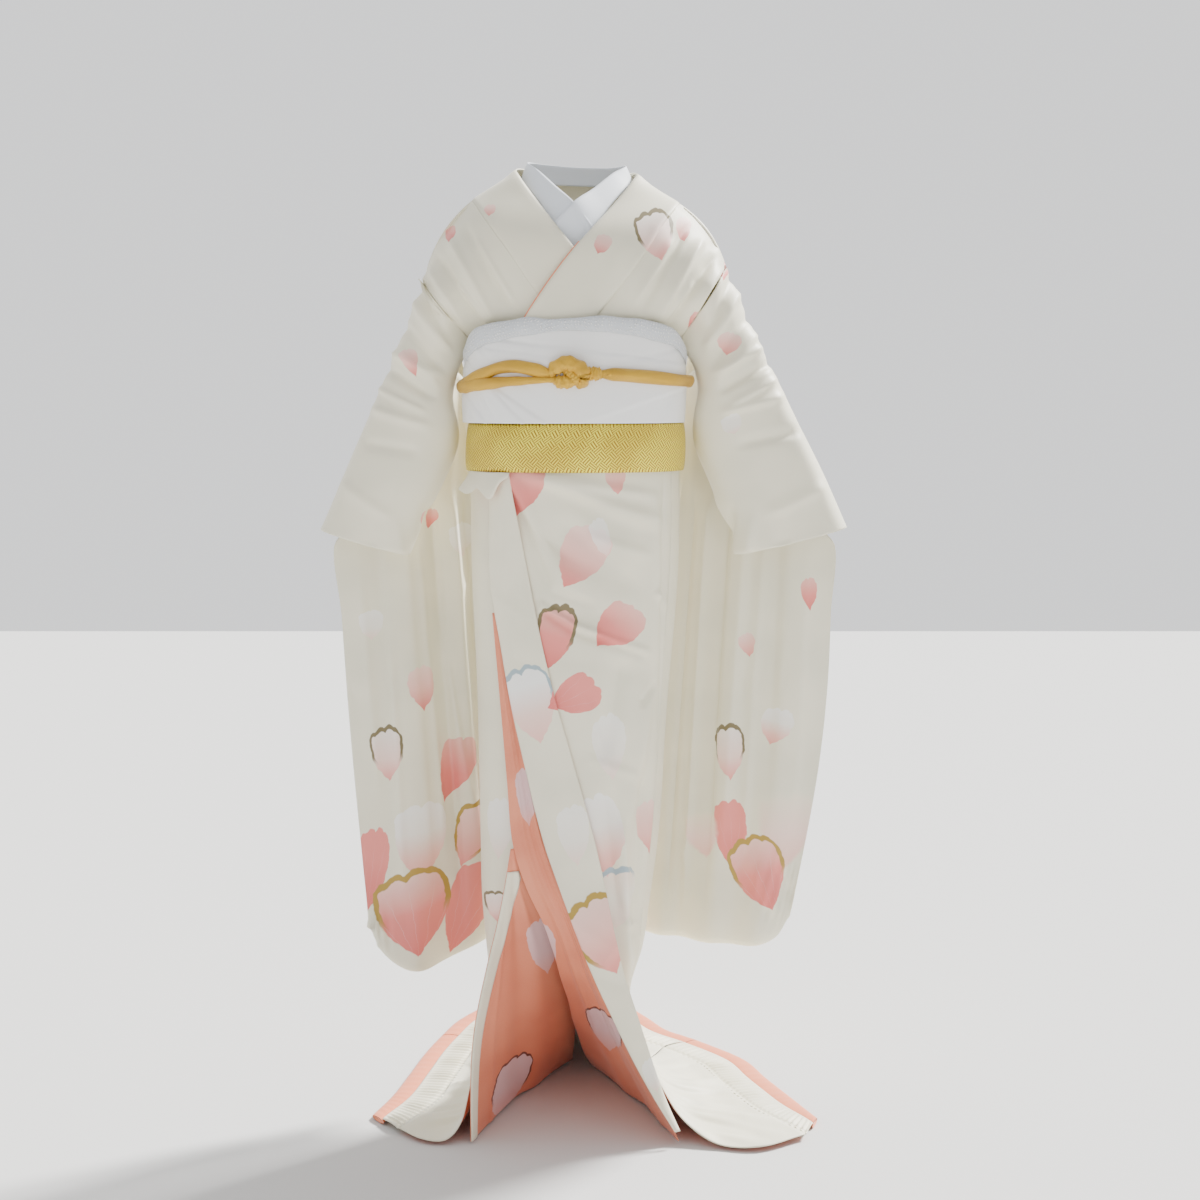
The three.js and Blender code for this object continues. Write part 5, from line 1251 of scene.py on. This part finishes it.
def sleeve_station(side, share):
    form = SLEEVES[side]
    sign = form["sign"]
    rx, rz, fx, fz, hx, hz, bx, bz = (value(form["rows"], c, share) for c in SLEEVE_COLUMNS.split()[1:])
    bag_depth = lerp(BAG_DEPTH_AT_BODY, BAG_DEPTH_AT_WRIST, smooth(share * 1.15))
    gap = lerp(BAG_GAP_HOLLOW, BAG_GAP_SEWN, smooth((share - 0.72) / 0.28))

    def bag(t, layer):
        swing = math.sin(2 * math.pi * form["waves"] * share + form["phase"])
        wave = BAG_WAVE * (1 - t * 0.7) * (1 - share**4) * swing
        x = lerp(bx, hx, t) + sign * form["bow"] * share * math.sin(math.pi * t)
        return point(x, bag_depth + wave + layer * gap / 2, lerp(bz, hz, t))

    at_seam = smooth((0.3 - share) / 0.3)
    middle = ((rx + fx) / 2, (rz + fz) / 2)
    half = ((rx - fx) / 2, (rz - fz) / 2)
    centre = CENTRE_AT_WRIST * share

    def ring(angle):
        s, c = math.sin(math.radians(angle)), math.cos(math.radians(angle))
        tube = centre - (ARM_FRONT * s**0.8 if s > 0 else -ARM_BACK * (-s) ** 0.8)
        seam = armhole_point(side, "front" if s >= 0 else "back", (1 - c) / 2)
        return point(lerp(middle[0] - half[0] * c, seam[0], at_seam), lerp(tube, seam[1], at_seam),
                     lerp(middle[1] - half[1] * c, seam[2], at_seam))

    low_fold = ring(0)
    ahead = [bag(t, -1) for t in (0, 0.2, 0.4, 0.6, 0.8, 1)]
    top = ahead[-1]
    returns = []
    for t in (0.36, 0.78):
        away = lerp(20 * math.sin(math.pi * t), -8, at_seam)
        depth = lerp(lerp(top[1], low_fold[1], t**1.6), lerp(top[1], low_fold[1], t), at_seam)
        returns.append(point(
            lerp(top[0], low_fold[0], t) + sign * 21 * at_seam,
            depth + away * (1 - at_seam) * 0.3,
            lerp(top[2], low_fold[2], t)))
    arm = [ring(angle) for angle in RING_ANGLES[1:]]
    behind = [bag(t, 1) for t in (1, 0.8, 0.6, 0.4, 0.2, 0)]
    link = lerp(arm[-1], behind[0], 0.55)
    link[1] = max(link[1], behind[0][1] + 8 * (1 - at_seam))
    return ahead + returns + [low_fold] + arm + [link] + behind


SLEEVE_LOOP = 216
SLEEVE_STATIONS = 33
BACK_PRINT_SHIFT = 480           # the sleeve's back wears the front's print, mirrored about half of this


def sleeve_folds(grid, sign, front):
    """Long folds of the hanging bag, the level tuck near its foot and the arm's creases."""
    bag_lines = {
        -1: [(-196, 1000, -150, 300, 5.4, 8), (-222, 980, -176, 280, -5.6, 9),
             (-262, 900, -226, 330, 3.8, 11), (-300, 880, -276, 420, -3.2, 12),
             (-322, 800, -300, 500, 2.6, 10), (-172, 940, -128, 320, -4.6, 7),
             (-240, 840, -206, 400, 3.4, 8), (-205, 720, -160, 420, 3.6, 6),
             (-280, 700, -262, 330, 2.6, 9), (-347, 629, -237, 663, -2.6, 5),
             (-347, 638, -240, 672, 1.8, 6), (-311, 282, -199, 306, 3.0, 4.5),
             (-312, 272, -200, 296, -2.4, 4), (-300, 250, -214, 264, 1.8, 4), (-330, 300, -290, 262, 2.0, 5),
             (-180, 800, -150, 760, 2.0, 6), (-150, 700, -140, 380, 3.4, 6)],
        1: [(205, 1000, 166, 290, 5.6, 8), (228, 980, 192, 300, -5.8, 9), (256, 930, 222, 420, 4.2, 10),
            (182, 1010, 138, 300, -5.2, 8), (300, 900, 284, 480, -3.0, 13), (162, 980, 112, 320, 4.4, 7),
            (280, 860, 252, 400, 2.6, 9), (110, 372, 250, 384, 3.4, 4.5), (110, 358, 262, 370, -2.6, 4.5),
            (240, 640, 330, 664, -1.8, 6), (316, 296, 262, 388, 3.0, 5), (328, 322, 284, 392, -2.4, 5),
            (300, 284, 244, 372, -2.4, 5), (332, 352, 300, 400, 2.2, 5), (340, 800, 326, 460, 2.2, 9),
            (142, 900, 106, 330, -3.4, 6)],
    }
    arm_lines = {
        -1: [(-262, 1140, -190, 1108, 4.6, 7), (-270, 1118, -200, 1076, -4.4, 7),
             (-292, 1060, -208, 1036, 3.2, 7), (-232, 1216, -180, 1140, 4.0, 7),
             (-246, 1180, -190, 1116, -4.0, 7), (-300, 1010, -226, 1000, -2.8, 8),
             (-336, 950, -262, 900, 2.2, 10), (-284, 1090, -216, 1058, 3.0, 5),
             (-226, 1240, -186, 1172, -3.0, 6), (-250, 1150, -196, 1092, 3.0, 6)],
        1: [(268, 1150, 200, 1114, 4.8, 7), (282, 1128, 208, 1088, -4.6, 7), (300, 1080, 212, 1058, 3.4, 7),
            (236, 1230, 188, 1146, 4.2, 7), (252, 1196, 198, 1126, -4.2, 7), (324, 1030, 234, 1012, -3.0, 8),
            (360, 950, 276, 910, 2.4, 10), (262, 1170, 206, 1104, 3.2, 6), (290, 1104, 226, 1070, 3.0, 5),
            (228, 1256, 196, 1180, -3.0, 6)],
    }
    lower = smooth((1000 - grid[..., 2] - np.abs(grid[..., 0]) * 0.28) / 50)
    bag = BAG_FOLD_DEPTH * sum(fold(grid, *line, 0.35) for line in bag_lines[sign]) * lower
    arm = ARM_FOLD_DEPTH * sum(fold(grid, *line, 0.2) for line in arm_lines[sign]) * (1 - lower)
    return (bag + arm) * front - bag * (1 - front) * BAG_BACK_SHARE


def make_sleeve(side):
    form = SLEEVES[side]
    sign = form["sign"]
    loops = []
    for share in np.linspace(0, 1, SLEEVE_STATIONS):
        curve = Curve(sleeve_station(side, float(share)), closed=True)
        loops.append([curve.at(k / SLEEVE_LOOP) for k in range(SLEEVE_LOOP)])
    grid = finer(np.array(loops), 4, 0) + np.array(SEAM_SHIFT_WAY) * SEAM_SHIFT * [sign, 1, 1]
    controls = len(sleeve_station(side, 0.5))
    at = np.arange(SLEEVE_LOOP) / SLEEVE_LOOP * controls
    front = 1 - smooth((at - 14.5) / 1.5) + smooth((at - controls + 0.6) / 0.5)
    front = front[None, :]
    flip = side == "left"
    print_map = grid[..., [0, 2]].copy()
    behind = np.broadcast_to(front < 0.5, grid.shape[:2])
    mirrored = sign * BACK_PRINT_SHIFT - print_map[..., 0]
    print_map[..., 0] = np.where(behind, mirrored, print_map[..., 0])
    relief = sleeve_folds(grid, sign, front) + ripple(grid, 200, 1.2, 40 + sign)
    share = np.linspace(0, 1, len(grid))
    ends = smooth(share / 0.06) * smooth((1 - share) / 0.03 + 0.35)
    grid = pushed(grid, WALL + relief * ends[:, None], loop=True, flip=flip)
    inwards = normals(grid, loop=True, flip=flip)[0]
    on = grid[0] - grid[3]
    tucked = grid[0] + on * (SEAM_TUCK / np.linalg.norm(on, axis=-1, keepdims=True))
    tucked -= inwards * (WALL - 0.2)
    grid = np.concatenate([tucked[None], grid])
    print_map = np.concatenate([print_map[:1], print_map])
    cloth(f"sleeve_{side}", grid, silk(f"silk_sleeve_{side}", form["petals"]),
          flip=flip, loop=True, thick=1.4, lining=WHITE_LINING, print_map=print_map)


make_sleeve("left")
make_sleeve("right")

# ---------------------------------------------------------------- sash set

SASH_SIDE, SASH_FRONT = 5.6, 9.6
SASH_START = 158                 # degrees round from the front where a sash begins, at the back
OBI_LAP, OBI_ROWS, OBI_PITCH, OBI_LAYER_EDGE = 32, 44, 1, 1.8
KAKAE_LAP, KAKAE_ROWS, KAKAE_PITCH = 26, 20, 2
OBI_LOW, OBI_FRONT_TOP, OBI_SIDE_TOP, OBI_BACK_TOP, OBI_THICK = 1042.6, 1174, 1145, 1149, 3
KAKAE_LOW, KAKAE_HIGH, KAKAE_THICK, KAKAE_LIFT = 973, 1042, 2.2, 1.2


def wrap_offset(degrees):
    return SASH_SIDE + SASH_FRONT * max(0, math.cos(math.radians(degrees))) ** 0.7


def obi_top(degrees):
    c = math.cos(math.radians(degrees))
    return lerp(OBI_SIDE_TOP, OBI_FRONT_TOP if c > 0 else OBI_BACK_TOP, c * c)


def sash_grid(heights_at, lift, rows, lap, thick, pitch):
    turn = 360 + lap
    columns = round(turn / pitch)
    grid = []
    for u in steps(rows):
        row = []
        for t in steps(columns):
            angle = SASH_START + turn * t
            low, high = heights_at(angle)
            over = (thick + 0.6) * smooth((t * turn - (turn - lap - 60)) / 50)
            swell = 2 * math.sin(math.pi * u)
            row.append(section_point(lerp(high, low, u), angle, wrap_offset(angle) + lift + over + swell))
        grid.append(row)
    return np.array(grid)


def make_sashes():
    grid = sash_grid(lambda angle: (OBI_LOW, obi_top(angle)), 0, OBI_ROWS, OBI_LAP, OBI_THICK, OBI_PITCH)
    lines = [
        (-150, 1168, -30, 1146, -1.6, 4), (-152, 1160, -60, 1090, -1.5, 4),
        (-150, 1130, -110, 1050, -1.4, 4), (-140, 1100, -122, 1046, -1.2, 3.5),
        (-152, 1090, -136, 1046, -1.2, 3.5), (152, 1150, 60, 1128, -1.3, 4),
        (150, 1120, 120, 1050, -1.2, 4), (-152, 1150, -86, 1120, 1.2, 5),
    ]
    front = smooth(-grid[..., 1] / 30)
    layers = [(-160, 1128, -40, 1044), (-160, 1142, -70, 1044), (-160, 1100, -120, 1044),
              (-160, 1165, 40, 1140), (-156, 1152, 60, 1118), (150, 1090, 60, 1058)]
    relief = sum(layer_edge(grid, *line, OBI_LAYER_EDGE, 0.6) for line in layers) * front
    relief = relief + sum(fold(grid, *line, 0.5) for line in lines) * front + ripple(grid, 120, 0.4, 51)
    cloth("obi", pushed(grid, relief, flip=True), OBI_SILK, flip=True, thick=2.2)
    grid = sash_grid(lambda angle: (KAKAE_LOW, KAKAE_HIGH), KAKAE_LIFT, KAKAE_ROWS, KAKAE_LAP,
                     KAKAE_THICK, KAKAE_PITCH)
    u = np.linspace(0, 1, len(grid))[:, None]
    edge = 1.0 * (1 - np.abs(2 * u - 1) ** 8)
    relief = edge + ripple(grid, 150, 0.5, 52)
    cloth("kakae_obi", pushed(grid, relief, flip=True), GOLD, flip=True, thick=1.8)


make_sashes()


def over_lap(degrees):
    return (OBI_THICK + 0.8) * smooth((0.2 - math.cos(math.radians(degrees))) / 0.6)


OBIAGE_OPEN = 150                # degrees each way that the scarf wraps its own core
OBIAGE_ROWS, OBIAGE_SAMPLES = 26, 300
OBIAGE_THIN_AT, OBIAGE_THIN_OVER = 352, 26    # pulled thin just beside the front centre
OBIAGE = dict(rise=9, half=12, deep=8, lift=5.2, side_rise=-15, side_half=6, side_deep=3)


def make_obiage():
    rows = []
    for turn in np.linspace(-OBIAGE_OPEN, OBIAGE_OPEN, OBIAGE_ROWS):
        s, c = math.sin(math.radians(turn)), math.cos(math.radians(turn))
        row = []
        for angle in np.linspace(180, 540, OBIAGE_SAMPLES, endpoint=False):
            full = smooth(math.cos(math.radians(angle)) * 1.6)
            from_thin = (angle - OBIAGE_THIN_AT) % 360
            from_thin -= 360 if from_thin >= 180 else 0
            thin = full * math.exp(-((from_thin / OBIAGE_THIN_OVER) ** 2))
            middle = obi_top(angle) + lerp(OBIAGE["side_rise"], OBIAGE["rise"], full) - 2.5 * thin
            deep = lerp(OBIAGE["side_deep"], OBIAGE["deep"], full)
            lift = lerp(OBIAGE["side_deep"], OBIAGE["lift"], full)
            out = wrap_offset(angle) + over_lap(angle) + lift + deep / 2 * c
            place = section_point(min(ARMPIT, middle), angle, out)
            place[2] = middle + lerp(OBIAGE["side_half"], OBIAGE["half"], full) * (1 - 0.3 * thin) * s
            row.append(place)
        rows.append(row)
    grid = np.array(rows)
    puffed = smooth((40 - grid[..., 0]) / 120) * smooth(-grid[..., 1] / 40)
    lumps = ripple(grid, 30, 0.9, 61) + ripple(grid, 70, 1.2, 62)
    grid = pushed(grid, 0.8 + lumps * (0.6 + 0.8 * puffed) + 1.6 * puffed, loop=True)
    cloth("obiage", grid, OBIAGE_SILK, loop=True, thick=1.6)


make_obiage()


def tube_on(name, path, radius, samples, sides=20, squash=0.78, wrinkle=0.6):
    """A padded cloth tube along a path, slightly flattened on what it lies on."""
    curve = Curve(path)
    rings = []
    reference = point(0, 0, 1)
    for t in np.linspace(0, 1, samples):
        centre, along = curve.at(t), curve.tangent(t)
        out = unit(np.cross(along, reference)) if abs(along[2]) < 0.95 else point(0, -1, 0)
        up = unit(np.cross(out, along))
        size = radius(t) if callable(radius) else radius
        ring = []
        for turn in np.linspace(0, 2 * math.pi, sides, endpoint=False):
            crease = (1 + wrinkle * 0.08 * math.sin(3 * turn + 26 * t)
                      + wrinkle * 0.06 * math.sin(2 * turn - 47 * t))
            ring.append(centre + (out * math.cos(turn) * squash + up * math.sin(turn)) * size * crease)
        rings.append(ring)
    return closed_tube(name, np.array(rings), CORD)


CORD_RADIUS, CORD_LIFT, CORD_END_LIFT = 9.2, 9.25, 12
CORD_SAMPLES, CORD_END_SAMPLES, KNOT_SAMPLES = 260, 110, 90
KNOT_HEIGHT = 1113
CORD_PATH = [(-8, 1110), (-17, 1117), (-28, 1122), (-38, 1120), (-48, 1112), (-64, 1101), (-88, 1096),
             (-135, 1100), (-180, 1102), (-225, 1102), (-272, 1102), (-302, 1103), (-326, 1107), (-343, 1111),
             (-352, 1112)]
CORD_END_PATH = [(-6, 1103), (-14, 1103), (-24, 1102), (-38, 1099.5), (-52, 1097), (-68, 1094.5), (-84, 1094),
                 (-98, 1097)]


def on_sash(angle, height, lift):
    return section_point(height, angle, wrap_offset(angle) + 1.5 * over_lap(angle) + lift)


def taper(t):
    return CORD_RADIUS * (1 + 0.06 * math.sin(23 * t)) * (0.5 + 0.5 * smooth(min(t, 1 - t) * 14))


def end_taper(t):
    return CORD_RADIUS * (0.42 + 0.62 * smooth(t * 1.5)) * (0.6 + 0.4 * smooth((1 - t) * 9))


def make_cord():
    main = tube_on("obijime_pad", [on_sash(a, h, CORD_LIFT) for a, h in CORD_PATH], taper,
                   CORD_SAMPLES)
    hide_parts("obijime")
    low = tube_on("obijime_end_pad", [on_sash(a, h, CORD_END_LIFT) for a, h in CORD_END_PATH],
                  end_taper, CORD_END_SAMPLES)
    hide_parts("obijime_end")
    face = section_point(KNOT_HEIGHT, 0, wrap_offset(0))[1]
    over = [(-33, -7, 1110), (-27, -10, 1118), (-16, -15, 1125), (-4, -18, 1126), (8, -18, 1120),
            (14, -16, 1110), (12, -13, 1101), (4, -9, 1097)]
    lobe = [(-27, -9, 1103), (-20, -12, 1101), (-12, -15, 1100), (-4, -15, 1102), (3, -12, 1107),
            (8, -8, 1114)]
    through = [(-14, -8, 1117), (-8, -13, 1114), (-1, -17, 1109), (4, -18, 1104), (8, -15, 1099)]
    tail = [(10, -9, 1110), (20, -10, 1112), (30, -9.5, 1112), (40, -8.5, 1111)]
    for k, (route, size) in enumerate(((over, 10.5), (lobe, 9), (through, 7), (tail, 9.4))):
        path = [(x, face + y, z) for x, y, z in route]

        def radius(t, size=size):
            return size * (0.62 + 0.38 * smooth(min(t, 1 - t) * 5))

        tube_on(f"obijime_knot_pad_{k + 1}", path, radius, KNOT_SAMPLES, wrinkle=1.1)
    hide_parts("obijime_knot")


make_cord()

# ---------------------------------------------------------------- tuck fold

TUCK = table(
    "top low height off",
    (-149, -166, 946, 5), (-143, -156, 941, 9), (-135, -147, 943, 7), (-128, -138, 949, 3),
    (-119, -128, 941, 6), (-110, -118, 936, 9), (-101, -107, 957, 5), (-91, -93, 967, 2))
TUCK_TOP = 972
TUCK_OFF = 16.6


def make_tuck():
    rows = []
    for u in steps(8):
        line = []
        for row in TUCK:
            held = wrap_offset(angle_at_x(TUCK_TOP, max(row["top"], -144))) + KAKAE_LIFT
            base = skirt_front(row["top"], TUCK_TOP, lerp(held, TUCK_OFF, smooth((row["top"] + 135) / 12)))
            y = base - row["off"] * math.sin(math.pi * u * 0.7)
            line.append(point(lerp(row["top"], row["low"], u), y, lerp(TUCK_TOP, row["height"], u)))
        rows.append(line)
    grid = fine_grid(rows, 3, 10)
    grid = pushed(grid, WALL + ripple(grid, 30, 0.8, 71), flip=True)
    cloth("tuck_fold", grid, PLAIN_SILK, flip=True, thick=1.2, lining=LINING)


make_tuck()

# ---------------------------------------------------------------- studio

FLOOR_HALF = 6.0                 # metres


def make_stage():
    floor = bpy.data.meshes.new("floor")
    low = -ORIGIN_HEIGHT * MM
    corners = [(x * FLOOR_HALF, y * FLOOR_HALF, low) for x, y in ((-1, -1), (1, -1), (1, 1), (-1, 1))]
    floor.from_pydata(corners, [], [(0, 1, 2, 3)])
    thing = bpy.data.objects.new("floor", floor)
    bpy.context.scene.collection.objects.link(thing)
    material, _, shader = new_material("floor_paper")
    set_shader(shader, Roughness=0.95, Base_Color=(0.66, 0.655, 0.645, 1))
    floor.materials.append(material)


def aim(thing, place, target):
    way = np.array(target, float) - place
    thing.location = place
    tilt = math.atan2(math.hypot(way[0], way[1]), -way[2])
    thing.rotation_euler = (tilt, 0, math.atan2(way[1], way[0]) + math.pi / 2)


def lamp(name, kind, place, target, power, size, colour=(1, 1, 1)):
    light = bpy.data.lights.new(name, kind)
    light.energy = power
    light.color = colour
    if kind == "AREA":
        light.shape = "DISK"
        light.size = size
    else:
        light.angle = size
    thing = bpy.data.objects.new(name, light)
    bpy.context.scene.collection.objects.link(thing)
    aim(thing, place, target)


BACKDROP_LIGHT = 1.25            # pale wall behind the kimono
ROOM_LIGHT = 0.9                 # dimmer room on the camera's side
ROOM_COLOUR = (0.985, 0.99, 1, 1)
LAMP_TARGET = (0, 0, -0.6)       # the middle of the robe
KEY_PLACE, KEY_POWER, KEY_SPREAD, KEY_COLOUR = (-2.7, -2.2, 2.3), 12, 11, (1, 0.99, 0.965)
SIDE_PLACE, SIDE_POWER, SIDE_SIZE = (3.4, -2.6, 1.2), 60, 2.0


def make_studio():
    make_stage()
    world = bpy.data.worlds.new("studio")
    world.use_nodes = True
    nodes = Nodes(world.node_tree)
    way = nodes.add("ShaderNodeTexCoord").outputs["Generated"]
    behind = nodes.between(nodes.add("ShaderNodeSeparateXYZ", {0: way}).outputs[1], -0.35, 0.35)
    strength = nodes.math("MULTIPLY_ADD", behind, BACKDROP_LIGHT - ROOM_LIGHT, ROOM_LIGHT)
    background = world.node_tree.nodes["Background"]
    background.inputs[0].default_value = ROOM_COLOUR
    world.node_tree.links.new(strength, background.inputs[1])
    bpy.context.scene.world = world
    lamp("key", "SUN", KEY_PLACE, LAMP_TARGET, KEY_POWER, math.radians(KEY_SPREAD), KEY_COLOUR)
    lamp("side", "AREA", SIDE_PLACE, LAMP_TARGET, SIDE_POWER, SIDE_SIZE)


make_studio()

CAMERA_FOCAL, CAMERA_SENSOR = 61.2, 36
CAMERA_PLACE, CAMERA_TILT = (0.037, -3.0, -0.260), 83.91
camera_data = bpy.data.cameras.new("photo_camera")
camera_data.sensor_width = CAMERA_SENSOR
camera_data.lens = CAMERA_FOCAL
camera = bpy.data.objects.new("photo_camera", camera_data)
bpy.context.scene.collection.objects.link(camera)
camera.location = CAMERA_PLACE
camera.rotation_euler = (math.radians(CAMERA_TILT), 0, 0)
bpy.context.scene.camera = camera
